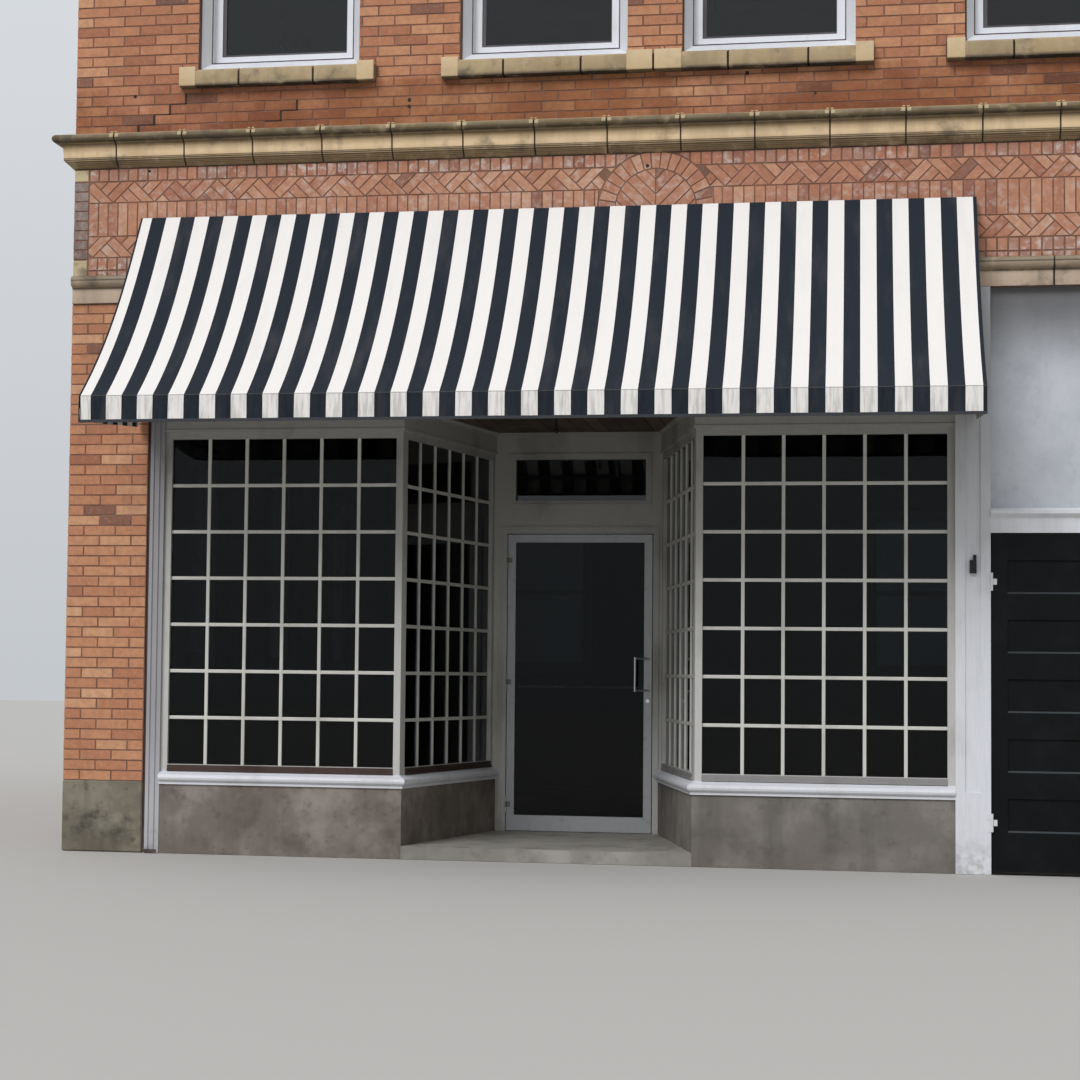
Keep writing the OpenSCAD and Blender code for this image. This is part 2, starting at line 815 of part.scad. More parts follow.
module shopfront_pilasters() {
    back = casing_t - casing_proud;
    left_x = shop_left_x - left_pilaster_w;
    mid_x = (shop_right_x + bay_post_x) / 2;
    color("#DCDDDB") on_front() {
        // The left pilaster is an architrave of three steps with a stop beside it against the pier
        linear_extrude(moulding_z) polygon([[-pier_inner_x, pilaster_stop_back],
            [left_x, pilaster_stop_back], [left_x, -casing_proud],
            [left_x + 0.24 * left_pilaster_w, -casing_proud],
            [left_x + 0.30 * left_pilaster_w, -0.55 * casing_proud],
            [left_x + 0.64 * left_pilaster_w, -0.55 * casing_proud],
            [left_x + 0.70 * left_pilaster_w, -0.1 * casing_proud],
            [shop_left_x, -0.1 * casing_proud], [shop_left_x, back], [-pier_inner_x, back]]);
        difference() {
            block(shop_right_x, bay_post_x, -casing_proud, back, 0, moulding_z);
            block(mid_x - pilaster_panel_w / 2, mid_x + pilaster_panel_w / 2, -casing_proud - cut,
                -casing_proud + pilaster_panel_sink, pilaster_foot_h, moulding_z - pilaster_panel_w);
        }
        frame_hinges(bay_post_x + door_gap, -casing_proud, side_hinge_zs);
    }
}

module entry_landing() {
    color("#8E8A84") on_front() translate([shop_x, 0, 0]) linear_extrude(floor_h) {
        polygon([[-recess_half_w, 0], [recess_half_w, 0], [recess_back_half_w, recess_d],
            [-recess_back_half_w, recess_d]]);
        polygon(landing_back);
    }
}

// A raised block on the front of the door frame; more lets a cut pass its faces
module bead_block(x0, x1, z0, z1, more = 0) {
    block(x0, x1, -bead_proud - more, more, z0, z1);
}

// The bead round the door, which leaves room for the hinges and stops at the display sills
module door_bead() {
    half = shop_door_w / 2 + door_gap;
    right = recess_back_half_w - shop_door_shift;
    top_z = door_head_z + hinge_leaf_w;
    difference() {
        bead_block(-half - hinge_leaf_w - bead_w, right, floor_h, top_z + bead_w);
        bead_block(-half - hinge_leaf_w, half + bead_proud, floor_h - cut, top_z, cut);
        bead_block(-building_w, building_w, bulkhead_h - seat, display_z + seat, cut);
    }
}

// The bead round the transom light
module transom_bead() {
    half = transom_w / 2 + bead_w;
    top_z = transom_z + transom_h + bead_w;
    difference() {
        bead_block(-half - bead_w, half + bead_w, transom_z - 2 * bead_w, top_z + bead_w);
        bead_block(-half, half, transom_z - bead_w, top_z, cut);
    }
}

module door_frame() {
    half = recess_back_half_w + door_frame_lap;
    soffit_bead_half = recess_back_half_w - display_frame_back;
    color("#D3D4D2") on_front() {
        translate([shop_door_mid_x, recess_d, 0]) difference() {
            block(-half - shop_door_shift, half - shop_door_shift, 0, door_frame_t, floor_h, soffit_z);
            block(-shop_door_w / 2 - door_gap, shop_door_w / 2 + door_gap, -cut, door_frame_t + cut,
                floor_h - cut, door_head_z);
            block(-transom_w / 2, transom_w / 2, -cut, door_frame_t + cut,
                transom_z, transom_z + transom_h);
        }
        translate([shop_door_mid_x, recess_d, 0]) {
            door_bead();
            transom_bead();
        }
        translate([shop_x, recess_d, 0])
            bead_block(-soffit_bead_half, soffit_bead_half, soffit_z - 2 * bead_w, soffit_z);
        frame_hinges(shop_door_x, shop_door_y, shop_hinge_zs);
    }
}

module transom_glass() {
    mid = recess_d + (door_frame_t - glass_t) / 2;
    color("#4A555C", 0.4) on_front() translate([shop_door_mid_x, 0, 0])
        block(-transom_w / 2, transom_w / 2, mid, mid + glass_t, transom_z, transom_z + transom_h);
}

// Hinges: the frame carries the two outer knuckles and the leaf the middle one.
// x is the hinge edge of the leaf and y its outer face.

shop_hinge_zs = [shop_door_z + shop_hinge_inset, shop_door_z + shop_door_h / 2,
    shop_door_z + shop_door_h - shop_hinge_inset];
side_hinge_zs = [side_door_z + side_hinge_inset, side_door_z + side_door_h - side_hinge_inset];

module knuckle(x, y, z0, z1) {
    translate([x, y - knuckle_out, z0]) cylinder(r = knuckle_r, h = z1 - z0);
}

module frame_hinges(x, y, zs) {
    third = hinge_h / 3;
    for (z = zs, s = [-1, 1]) {
        z0 = s < 0 ? z - hinge_h / 2 : z + third / 2 + knuckle_gap;
        z1 = s < 0 ? z - third / 2 - knuckle_gap : z + hinge_h / 2;
        knuckle(x, y, z0, z1);
        block(x - hinge_leaf_w, x - 1, y - hinge_leaf_t, y, z0, z1);
    }
}

module leaf_hinges(x, y, zs) {
    third = hinge_h / 3;
    for (z = zs) {
        knuckle(x, y, z - third / 2, z + third / 2);
        block(x + 1, x + hinge_leaf_w, y - hinge_leaf_t, y, z - third / 2, z + third / 2);
    }
}

module shop_door() {
    color("#C9CBCC") on_front() translate([shop_door_x, shop_door_y, shop_door_z]) difference() {
        cube([shop_door_w, shop_door_t, shop_door_h]);
        translate([door_stile_w, -cut, door_bottom_rail_h])
            cube([shop_door_w - 2 * door_stile_w, shop_door_t + 2 * cut,
                shop_door_h - door_bottom_rail_h - door_stile_w]);
    }
}

module shop_door_glass() {
    color("#3C464C", 0.4) on_front()
        translate([shop_door_x + door_stile_w, shop_door_y + (shop_door_t - glass_t) / 2,
            shop_door_z + door_bottom_rail_h])
            cube([shop_door_w - 2 * door_stile_w, glass_t,
                shop_door_h - door_bottom_rail_h - door_stile_w]);
}

// A round grip that stands out from the leaf and to one side of the two arms that hold it
module pull_handle() {
    reach = norm([pull_side, pull_off]);
    rise = pull_h / 2 - pull_r;
    intersection() {
        rotate([0, 0, 180 + atan2(pull_off, pull_side)]) {
            for (z = [-rise, rise]) translate([-pull_off, 0, z]) rotate([0, 90, 0])
                cylinder(r = 0.7 * pull_r, h = pull_off + reach);
            translate([reach, 0, -pull_h / 2]) cylinder(r = pull_r, h = pull_h);
        }
        block(-2 * reach, 2 * reach, -2 * reach, 0, -pull_h, pull_h);
    }
}

module shop_door_hardware() {
    hinge_side_x = shop_door_x + door_stile_w / 2;
    lock_side_x = shop_door_x + shop_door_w - door_stile_w / 2;
    bar_z = shop_door_z + push_bar_z;
    inner_y = shop_door_y + shop_door_t;
    post_r = 0.7 * pull_r;
    color("#9FA3A6") on_front() {
        leaf_hinges(shop_door_x, shop_door_y, shop_hinge_zs);
        // Pull handle outside
        translate([lock_side_x, shop_door_y, shop_door_z + pull_z]) pull_handle();
        // Push bar inside
        for (x = [hinge_side_x, lock_side_x]) translate([x, inner_y, bar_z])
            rotate([-90, 0, 0]) cylinder(r = post_r, h = pull_off);
        translate([hinge_side_x - 2 * pull_r, inner_y + pull_off, bar_z])
            rotate([0, 90, 0]) cylinder(r = pull_r, h = lock_side_x - hinge_side_x + 4 * pull_r);
        // Lock cylinder
        translate([lock_side_x, shop_door_y, shop_door_z + lock_z]) rotate([90, 0, 0])
            cylinder(r = 1.6 * pull_r, h = pull_r);
    }
}

// Right bay

module side_door_frame() {
    color("#DCDDDB") on_front() {
        block(side_casing_x, pier_inner_x, -casing_proud, casing_t - casing_proud, 0, moulding_z);
        block(bay_post_x, side_casing_x, -casing_proud, casing_t - casing_proud,
            side_head_z, side_head_z + side_head_h);
        translate([0, -casing_proud, side_head_z + side_head_h - side_head_moulding_h])
            awning_plate(bay_post_x, side_casing_x) polygon([[0, 0],
                [-side_head_proud, 0.42 * side_head_moulding_h],
                [-side_head_proud, 0.75 * side_head_moulding_h], [0, side_head_moulding_h]]);
    }
}

module plaster_panel() {
    color("#C2C5CC") on_front() block(bay_post_x, side_casing_x, transom_panel_back,
        transom_panel_back + panel_t, side_head_z + side_head_h, moulding_z);
}

module side_door() {
    gap_h = (side_door_h - side_top_rail_h - side_panels * side_panel_h) / (side_panels + 0.5);
    color("#171B1F") on_front() translate([bay_post_x + door_gap, -casing_proud, side_door_z])
        difference() {
            cube([side_door_w, side_door_t, side_door_h]);
            for (i = [0 : side_panels - 1], y = [-cut, side_door_t - side_panel_sink])
                translate([side_stile_w, y,
                    side_door_h - side_top_rail_h - side_panel_h - i * (side_panel_h + gap_h)])
                    cube([side_door_w - 2 * side_stile_w, side_panel_sink + cut, side_panel_h]);
        }
}

module side_door_hardware() {
    knob_x = bay_post_x + door_gap + side_door_w - side_stile_w / 2;
    color("#7C7266") on_front() {
        leaf_hinges(bay_post_x + door_gap, -casing_proud, side_hinge_zs);
        translate([knob_x, -casing_proud, side_door_z + knob_z]) rotate([90, 0, 0]) {
            cylinder(r = 1.1 * knob_r, h = 0.25 * knob_r);
            cylinder(r = 0.4 * knob_r, h = knob_off);
            translate([0, 0, knob_off]) sphere(r = knob_r);
        }
    }
}

// Awning

module awning_cloth() {
    front = -awning_reach;
    color("#E9E6E1") on_front() awning_plate(awning_x0, awning_x1) polygon(concat(
        awning_curve(0), [[front, valance_z], [front + cloth_t, valance_z]],
        backwards(awning_curve(cloth_t))));
}

module awning_wings() {
    color("#D8D5D0") on_front() for (x = [awning_x0, awning_x1 - cloth_t])
        awning_plate(x, x + cloth_t) polygon(concat(
            awning_curve(cloth_t + seat),
            [[-awning_reach + cloth_t + seat, valance_z], [-casing_proud - seat, valance_z + wing_rise],
                [-casing_proud - seat, moulding_z - seat], [-moulding_proud - seat, moulding_z - seat],
                [-moulding_proud - seat, frieze_z + seat], [-tube - seat, frieze_z + seat]]));
}

module awning_frame() {
    under = cloth_t + seat;
    pitch = (awning_w - 2 * under - tube) / (rafters - 1);
    color("#6E7276") on_front() {
        // Rafters bent to the curve of the cloth
        for (i = [0 : rafters - 1]) {
            x = awning_x0 + under + i * pitch;
            awning_plate(x, x + tube) polygon(concat(awning_curve(under),
                backwards(awning_curve(under + tube))));
        }
        // Eave tube
        block(awning_x0 + under, awning_x1 - under, -awning_reach + under,
            -awning_reach + under + tube, eave_z - under - tube, eave_z - under);
        // Side arms back to the wall
        for (x = [awning_x0 + under, awning_x1 - under - tube])
            block(x, x + tube, -awning_reach + under, -casing_proud, eave_z - under - tube, eave_z - under);
        // Wall rail
        block(awning_x0 + under, awning_x1 - under, -tube, 0,
            awning_top_z - 2 * tube, awning_top_z - tube / 2);
    }
}

// Small iron

module iron_fittings() {
    hook_r = hook_h / 16;
    color("#2B2B2C") on_front() {
        // Hook that hangs from the soffit
        translate([shop_x, hook_back, soffit_z - hook_h]) {
            cylinder(r = hook_r, h = hook_h);
            sphere(r = 2 * hook_r);
            translate([0, 0, hook_h - hook_r]) cylinder(r = 4 * hook_r, h = hook_r);
        }
        // Bracket that sits in the sunk panel of the right pilaster
        translate([(shop_right_x + bay_post_x) / 2, pilaster_panel_sink - casing_proud, bracket_z]) {
            block(-bracket_w / 2, bracket_w / 2, -0.8 * bracket_w, 0, -bracket_w, bracket_w);
            translate([bracket_w / 4, -0.4 * bracket_w, 0])
                cylinder(r = bracket_w / 4, h = 1.8 * bracket_w);
        }
    }
}

left_pier();
right_pier();
pier_bases();
frieze_wall();
upper_front_wall();
left_side_wall();
party_wall();
rear_wall();
lower_moulding();
string_cornice();
top_cornice();
parapet_coping();
front_sills();
front_lintels();
side_window_stones();
ground_floor();
upper_floor();
roof_deck();
front_window_frames();
front_window_glass();
side_window_frames();
side_window_glass();
left_bulkhead();
right_bulkhead();
display_sills();
display_frames();
display_glass();
display_decks();
shopfront_head();
recess_soffit();
transom_panel();
shopfront_pilasters();
entry_landing();
door_frame();
transom_glass();
shop_door();
shop_door_glass();
shop_door_hardware();
side_door_frame();
plaster_panel();
side_door();
side_door_hardware();
awning_cloth();
awning_wings();
awning_frame();
iron_fittings();
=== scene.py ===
"""Corner shop building: brickwork, stone joints, shop window bars, awning cloth and every finish.

Everything is in metres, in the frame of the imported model: X runs along the street front, the front
faces -Y, Z is up, and the origin is at the centre of the footprint, under the ground floor.
"""

import logging
import math
import random
from dataclasses import dataclass
from dataclasses import field
from enum import Enum
from enum import IntEnum
from typing import Iterable
from typing import Sequence

import bmesh
import bpy
from mathutils import Matrix
from mathutils import Vector


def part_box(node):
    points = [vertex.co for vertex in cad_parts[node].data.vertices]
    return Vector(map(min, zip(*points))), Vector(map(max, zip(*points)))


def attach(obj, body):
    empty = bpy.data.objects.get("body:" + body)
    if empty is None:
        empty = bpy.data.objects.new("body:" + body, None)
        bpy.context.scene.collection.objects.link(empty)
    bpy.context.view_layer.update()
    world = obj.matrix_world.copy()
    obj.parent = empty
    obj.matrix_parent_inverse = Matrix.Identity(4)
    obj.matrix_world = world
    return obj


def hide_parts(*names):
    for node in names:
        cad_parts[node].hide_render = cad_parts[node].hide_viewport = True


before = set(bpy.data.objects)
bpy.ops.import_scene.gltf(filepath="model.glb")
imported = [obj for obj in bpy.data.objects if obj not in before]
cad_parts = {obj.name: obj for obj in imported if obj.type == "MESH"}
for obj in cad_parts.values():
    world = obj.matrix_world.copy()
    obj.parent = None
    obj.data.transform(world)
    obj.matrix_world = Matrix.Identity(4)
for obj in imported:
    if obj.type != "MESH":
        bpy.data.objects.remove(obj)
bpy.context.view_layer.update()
LOG = logging.getLogger("corner_shop")
MM = 0.001
# Half the width of the front, its brick face, the height of a course of brick, the length of a brick with
# its joint, and the levels of the window sills
HALF_W = 3.78
STREET_FACE = -4.5
COURSE = 66 * MM
STRETCHER = 213 * MM
GROUND_SILL = 1.180
UPPER_SILL = 5.086
SILL_H = 0.125
Point = tuple[float, float]
Rect = tuple[float, float, float, float]
BMesh = bmesh.types.BMesh
Socket = bpy.types.NodeSocket
Given = Socket | str | float | Sequence[float]


def linear(hex_colour: str) -> tuple[float, float, float, float]:
    """Turns an sRGB hex colour into the linear colour that a shader reads.

    Args:
        hex_colour: Six hex digits after a hash sign.

    Returns:
        Red, green, blue and an alpha of 1, all linear.
    """
    channels = [int(hex_colour[i:i + 2], 16) / 255 for i in (1, 3, 5)]
    red, green, blue = [c / 12.92 if c <= 0.04045 else ((c + 0.055) / 1.055) ** 2.4 for c in channels]
    return red, green, blue, 1.0


class Wiring:
    """A node tree while it is being wired."""

    def __init__(self, tree: bpy.types.NodeTree) -> None:
        """Starts on a tree."""
        self.tree = tree

    def feed(self, socket: Socket, given: Given) -> None:
        """Gives an input a link, a hex colour or a plain value.

        Args:
            socket: The input.
            given: A socket to link in, a hex colour or a plain value.
        """
        if isinstance(given, Socket):
            self.tree.links.new(given, socket)
        else:
            socket.default_value = linear(given) if isinstance(given, str) else given

    def add(self, kind: str, given: dict[str | int, Given] | None = None,
            stops: Sequence[tuple[float, str]] = (), **props: str | float) -> bpy.types.NodeOutputs:
        """Adds a node with its settings and links.

        Args:
            kind: The node's type.
            given: What its inputs get, by name or number.
            stops: Places and hex colours, for a colour ramp.
            props: The node's own properties.

        Returns:
            Its outputs.
        """
        node = self.tree.nodes.new(kind)
        for name, value in props.items():
            setattr(node, name, value)
        for _ in stops[2:]:
            node.color_ramp.elements.new(0.5)
        for element, (place, colour) in zip(node.color_ramp.elements if stops else (), stops):
            element.position = place
            element.color = linear(colour)
        for name, value in (given or {}).items():
            self.feed(node.inputs[name], value)
        return node.outputs


class Recipe(Wiring):
    """The node tree of one material while it is being wired."""

    def __init__(self, name: str) -> None:
        """Starts a material with its Principled shader and its object coordinates.

        Args:
            name: Name of the material.
        """
        self.material = bpy.data.materials.new(name)
        self.material.use_nodes = True
        super().__init__(self.material.node_tree)
        self.shader = self.tree.nodes["Principled BSDF"]
        self.where = self.add("ShaderNodeTexCoord")["Object"]
        self.along = self.add("ShaderNodeSeparateXYZ", {"Vector": self.where})

    def cloud(self, size: float, detail: float = 4, low: float = 0.35, high: float = 0.65,
              stretch: Sequence[float] | None = None, turn: float = 0.0) -> Socket:
        """Soft patches, or streaks and grain where they are stretched.

        Args:
            size: Width of a patch in metres.
            detail: Octaves of finer patches.
            low: Noise value that becomes 0.
            high: Noise value that becomes 1.
            stretch: Scale of the pattern along each axis, under 1 where it is drawn out.
            turn: Angle of the pattern round Z.

        Returns:
            A value from 0 to 1.
        """
        vector = self.where
        if stretch:
            vector = self.add("ShaderNodeMapping", {"Scale": stretch, "Rotation": (0, 0, turn),
                                                    "Vector": self.where})["Vector"]
        noise = self.add("ShaderNodeTexNoise", {"Scale": 1 / size, "Detail": detail, "Roughness": 0.6,
                                                "Vector": vector})["Fac"]
        return self.fade(noise, low, high)

    def fade(self, value: Socket, low: float, high: float) -> Socket:
        """A smooth rise of a value from 0 at one level to 1 at another.

        Args:
            value: The value, such as a height.
            low: The level that becomes 0, above the other one where the rise is a fall.
            high: The level that becomes 1.

        Returns:
            A value from 0 to 1.
        """
        return self.add("ShaderNodeMapRange", {"Value": value, "From Min": low, "From Max": high},
                        interpolation_type="SMOOTHSTEP")["Result"]

    def times(self, first: Socket, *others: Socket | float) -> Socket:
        """Masks and shares multiplied with each other.

        Args:
            first: A mask.
            others: More masks, or shares from 0 to 1.

        Returns:
            Their product.
        """
        for factor in others:
            first = self.add("ShaderNodeMath", {0: first, 1: factor}, operation="MULTIPLY")[0]
        return first

    def over(self, base: Given, colour: Given, *amounts: Socket | float, blend: str = "MIX") -> Socket:
        """One colour laid over another.

        Args:
            base: The colour under it, a socket or a hex colour.
            colour: The colour on top, a socket or a hex colour.
            amounts: Masks and shares that say together how much of it.
            blend: The mixing mode.

        Returns:
            The mixed colour.
        """
        return self.add("ShaderNodeMixRGB", {"Fac": self.times(*amounts), "Color1": base, "Color2": colour},
                        blend_type=blend)["Color"]

    def relief(self, height: Socket, depth: float) -> None:
        """Stands a pattern out of the surface, on top of any relief given before.

        Args:
            height: The pattern, from 0 to 1.
            depth: How far it stands out where it is 1, in metres.
        """
        given = {"Distance": depth, "Strength": 1.0, "Height": height}
        before = self.shader.inputs["Normal"].links
        if before:
            given["Normal"] = before[0].from_socket
        self.feed(self.shader.inputs["Normal"], self.add("ShaderNodeBump", given)["Normal"])

    def finish(self, colour: Given, rough: Given, **others: Given) -> None:
        """Feeds the Principled shader.

        Args:
            colour: Its base colour.
            rough: Its roughness.
            others: Its other inputs by name, with an underscore for each space.
        """
        for name, given in {"Base Color": colour, "Roughness": rough, **others}.items():
            self.feed(self.shader.inputs[name.replace("_", " ")], given)


@dataclass(frozen=True)
class Finish:
    """A finish of this building. Its material is made once, when a piece first asks for it."""

    name: str

    def material(self) -> bpy.types.Material:
        """The material of this finish.

        Returns:
            The material, the same one each time.
        """
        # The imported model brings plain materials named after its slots, so these names differ from them
        name = "finish_" + self.name
        made = bpy.data.materials.get(name)
        if made is None:
            recipe = Recipe(name)
            self.mix(recipe)
            made = recipe.material
        return made

    def mix(self, recipe: Recipe) -> None:
        """Wires the node tree."""
        raise NotImplementedError


@dataclass(frozen=True)
class Brick(Finish):
    """Wire-cut clay brick, fired: matt and pitted, each brick with a shade of its own."""

    tones: tuple[str, ...] = ("#6E544C", "#A36A4F", "#B67C5B", "#C38965", "#CC9670", "#D6A680")
    lime: float = 0.0
    soot: float = 0.30
    # Levels of a band of wall darkened under the sills
    darker_under_sills: tuple[float, float] | None = None

    def mix(self, recipe: Recipe) -> None:
        """Shade by brick, mottling inside each brick, iron spots, soot, lime smears, a darker band under the
        sills.

        Args:
            recipe: The node tree of its material.
        """
        tone = recipe.add("ShaderNodeAttribute", attribute_name="tone")["Fac"]
        last = len(self.tones) - 1
        colour = recipe.add("ShaderNodeValToRGB", {"Fac": tone},
                            [(i / last, c) for i, c in enumerate(self.tones)])["Color"]
        colour = recipe.over(colour, "#8A5540", recipe.cloud(0.045, 6), 0.28)
        colour = recipe.over(colour, "#DDA27A", recipe.cloud(0.02, 3, 0.5, 0.75), 0.28)
        spots = recipe.add("ShaderNodeTexVoronoi", {"Scale": 1 / (14 * MM), "Vector": recipe.where})
        pits = recipe.add("ShaderNodeMapRange", {"From Min": 0.05, "From Max": 0.16, "To Min": 1, "To Max": 0,
                                                 "Value": spots["Distance"]})["Result"]
        pits = recipe.times(pits, recipe.cloud(0.09, 2, 0.48, 0.6))
        colour = recipe.over(colour, "#4A2A1E", pits, 0.8)
        colour = recipe.over(colour, "#7A5440", recipe.cloud(1.0, 5, 0.48, 0.75, (2.4, 2.4, 0.7)), self.soot)
        if self.lime:
            colour = recipe.over(colour, "#CFC0B6", recipe.cloud(0.05, 7, 0.44, 0.66),
                                 recipe.cloud(0.4, 4, 0.36, 0.62), self.lime)
        # A band under the sills, darker in patches
        if self.darker_under_sills:
            low, high = self.darker_under_sills
            band = recipe.times(recipe.fade(recipe.along["Z"], low - 0.3, low),
                                recipe.fade(recipe.along["Z"], high + 0.04, high))
            colour = recipe.over(colour, "#C9B69F", band, recipe.cloud(0.7, 5, 0.34, 0.6), blend="MULTIPLY")
        recipe.finish(colour, 0.86)
        recipe.relief(recipe.cloud(0.004, 3, 0.2, 0.8), 0.5 * MM)
        recipe.relief(recipe.times(pits, -1.0), 1.2 * MM)


@dataclass(frozen=True)
class WallCore(Finish):
    """The body of a brick wall: tooled mortar outside, where the joints show, and plaster inside."""

    mortar: str = "#8B6653"
    plaster: str = "#B9B1A1"

    def mix(self, recipe: Recipe) -> None:
        """Mortar with sand grains and dirt, and plaster inside the room faces.

        Args:
            recipe: The node tree of its material.
        """
        low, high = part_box("upper_floor")
        near = []
        for axis, half in (("X", max(abs(low.x), abs(high.x))), ("Y", high.y)):
            size = recipe.add("ShaderNodeMath", {0: recipe.along[axis]}, operation="ABSOLUTE")[0]
            near.append(recipe.add("ShaderNodeMath", {0: size, 1: half + MM}, operation="LESS_THAN")[0])
        mortar = recipe.over(self.mortar, "#63483B", recipe.cloud(0.12, 6), 0.6)
        mortar = recipe.over(mortar, "#B39A86", recipe.cloud(0.5, 5, 0.52, 0.7), 0.35)
        plaster = recipe.over(self.plaster, "#B3AA98", recipe.cloud(0.8, 5), 0.35)
        recipe.finish(recipe.over(mortar, plaster, *near), 0.92)
        recipe.relief(recipe.cloud(0.003, 2, 0.2, 0.8), 0.6 * MM)


@dataclass(frozen=True)
class BandStone(Finish):
    """Buff glazed terracotta of the bands: pale glaze in its cove, soot on its roll, painted shade and
    highlight on its steps.
    """

    foot: float = 0.0
    height: float = 1.0
    profile: tuple[tuple[float, str], ...] = ((0.0, "#C6B389"), (1.0, "#C6B389"))
    grime: float = 0.6

    def mix(self, recipe: Recipe) -> None:
        """Colour by height on the profile, with painted shade and highlight on its steps, run-off streaks,
        soot and small chips.

        Args:
            recipe: The node tree of its material.
        """
        level = recipe.add("ShaderNodeMapRange", {"From Min": self.foot, "From Max": self.foot + self.height,
                                                  "Value": recipe.along["Z"]})["Result"]
        # Where a profile gives them, the ramp paints shade under the steps and highlight on them
        colour = recipe.add("ShaderNodeValToRGB", {"Fac": level}, self.profile)["Color"]
        streaks = recipe.cloud(0.16, 6, 0.42, 0.68, (1, 1, 0.12))
        colour = recipe.over(colour, "#5B4D38", streaks, 0.55 * self.grime)
        colour = recipe.over(colour, "#3A322A", recipe.cloud(0.24, 8, 0.52, 0.68), 1.2 * self.grime)
        colour = recipe.over(colour, "#D8C49A", recipe.cloud(0.09, 7, 0.5, 0.8), 0.35)
        nib = recipe.add("ShaderNodeAttribute", attribute_name="nib")["Fac"]
        colour = recipe.over(colour, "#D3BF96", nib, 0.6)
        recipe.finish(colour, recipe.fade(recipe.cloud(0.1, 4, 0.2, 0.8), -1.2, 1.6))
        recipe.relief(recipe.cloud(0.012, 5, 0.2, 0.8), 0.8 * MM)


@dataclass(frozen=True)
class Render(Finish):
    """Cement render and concrete, floated by hand: grey-tan, cloudy, damp and darker at its foot."""

    colour: str = "#A39A8A"
    pale: str = "#BDB5A6"
    dark: str = "#6F675B"
    damp_top: float = 0.25
    stains: float = 0.6
    # Levels of a darker head, soot and painted shadow
    shade: tuple[float, float] | None = None

    def mix(self, recipe: Recipe) -> None:
        """Trowel clouds, pale scuffs, rain streaks, a damp foot and a darker head of soot and painted shadow.

        Args:
            recipe: The node tree of its material.
        """
        colour = recipe.over(self.colour, self.pale, recipe.cloud(0.38, 8, 0.42, 0.66))
        colour = recipe.over(colour, self.dark, recipe.cloud(0.3, 9, 0.5, 0.72), self.stains)
        colour = recipe.over(colour, self.dark, recipe.cloud(0.07, 6, 0.56, 0.7), 0.6 * self.stains)
        colour = recipe.over(colour, self.dark, recipe.cloud(0.2, 5, 0.5, 0.72, (1, 1, 0.10)), 0.35)
        rise = recipe.fade(recipe.along["Z"], self.damp_top, 0.0)
        colour = recipe.over(colour, "#655E54", rise, recipe.cloud(0.3, 6, 0.15, 0.8), 0.5)
        # A darker head: soot, and painted shadow of the moulding over it
        if self.shade:
            colour = recipe.over(colour, "#4E4C4A", recipe.fade(recipe.along["Z"], *self.shade), 0.8)
        recipe.finish(colour, 0.9)
        recipe.relief(recipe.cloud(0.25, 6, 0.2, 0.8), 3.0 * MM)
        recipe.relief(recipe.cloud(0.006, 3, 0.2, 0.8), 0.5 * MM)


@dataclass(frozen=True)
class Paint(Finish):
    """Gloss paint brushed on timber: smooth with brush lines, dusty, darker where hands and rain reach."""

    colour: str = "#DADBD9"
    dirt: str = "#8F8B80"
    amount: float = 0.35
    rough: float = 0.42
    along: tuple[float, float, float] = (1.0, 1.0, 0.03)
    # Painted shade: low and high level and share of a darkening towards the top
    shade: tuple[float, float, float] | None = None
    # Where the paint greys at the corner, part weathering and part painted shade
    grey_and_shaded_left_of: float | None = None

    def mix(self, recipe: Recipe) -> None:
        """Brush lines along the timber, blotches of dirt, a scuffed foot, painted shade under the awning, a
        grey corner.

        Args:
            recipe: The node tree of its material.
        """
        height = recipe.along["Z"]
        lines = recipe.cloud(0.006, 3, 0.3, 0.7, self.along)
        blotches = recipe.cloud(0.3, 7, 0.48, 0.72, (1, 1, 0.5))
        colour = recipe.over(self.colour, self.dirt, blotches, self.amount)
        colour = recipe.over(colour, self.dirt, lines, 0.10)
        colour = recipe.over(colour, "#77726A", recipe.fade(height, 0.30, 0.02),
                             recipe.cloud(0.05, 7, 0.35, 0.75), 0.55)
        # Painted shade under the awning: the paint darkens from the low level up to the high one
        if self.shade:
            low, high, amount = self.shade
            colour = recipe.over(colour, "#5A5852", recipe.fade(height, low, high), amount)
        # A grey corner: part weathered paint, part painted shade of the pier, darker above a metre in painted
        # shade
        if self.grey_and_shaded_left_of is not None:
            worn = recipe.fade(recipe.along["X"], self.grey_and_shaded_left_of, self.grey_and_shaded_left_of - 0.1)
            colour = recipe.over(colour, "#8C888A", worn, 0.5)
            colour = recipe.over(colour, "#6A6668", worn, recipe.fade(height, 0.1, 1.0), 0.45)
        rough = recipe.add("ShaderNodeMapRange", {"To Min": self.rough, "To Max": self.rough + 0.25,
                                                  "Value": blotches})["Result"]
        recipe.finish(colour, rough)
        recipe.relief(lines, 0.25 * MM)


@dataclass(frozen=True)
class BlackPaint(Finish):
    """Black gloss paint on the panelled door, with street dust on each ledge that faces up."""

    def mix(self, recipe: Recipe) -> None:
        """Near black, dust on ledges, faint runs.

        Args:
            recipe: The node tree of its material.
        """
        facing = recipe.add("ShaderNodeNewGeometry")["Normal"]
        up = recipe.add("ShaderNodeSeparateXYZ", {"Vector": facing})["Z"]
        colour = recipe.over("#030506", "#0C1014", recipe.cloud(0.25, 6, 0.45, 0.7))
        colour = recipe.over(colour, "#4A5053", recipe.fade(up, 0.25, 0.7), 0.8)
        recipe.finish(colour, 0.52, Specular_IOR_Level=0.16)
        recipe.relief(recipe.cloud(0.008, 3, 0.3, 0.7, (1, 1, 0.05)), 0.2 * MM)


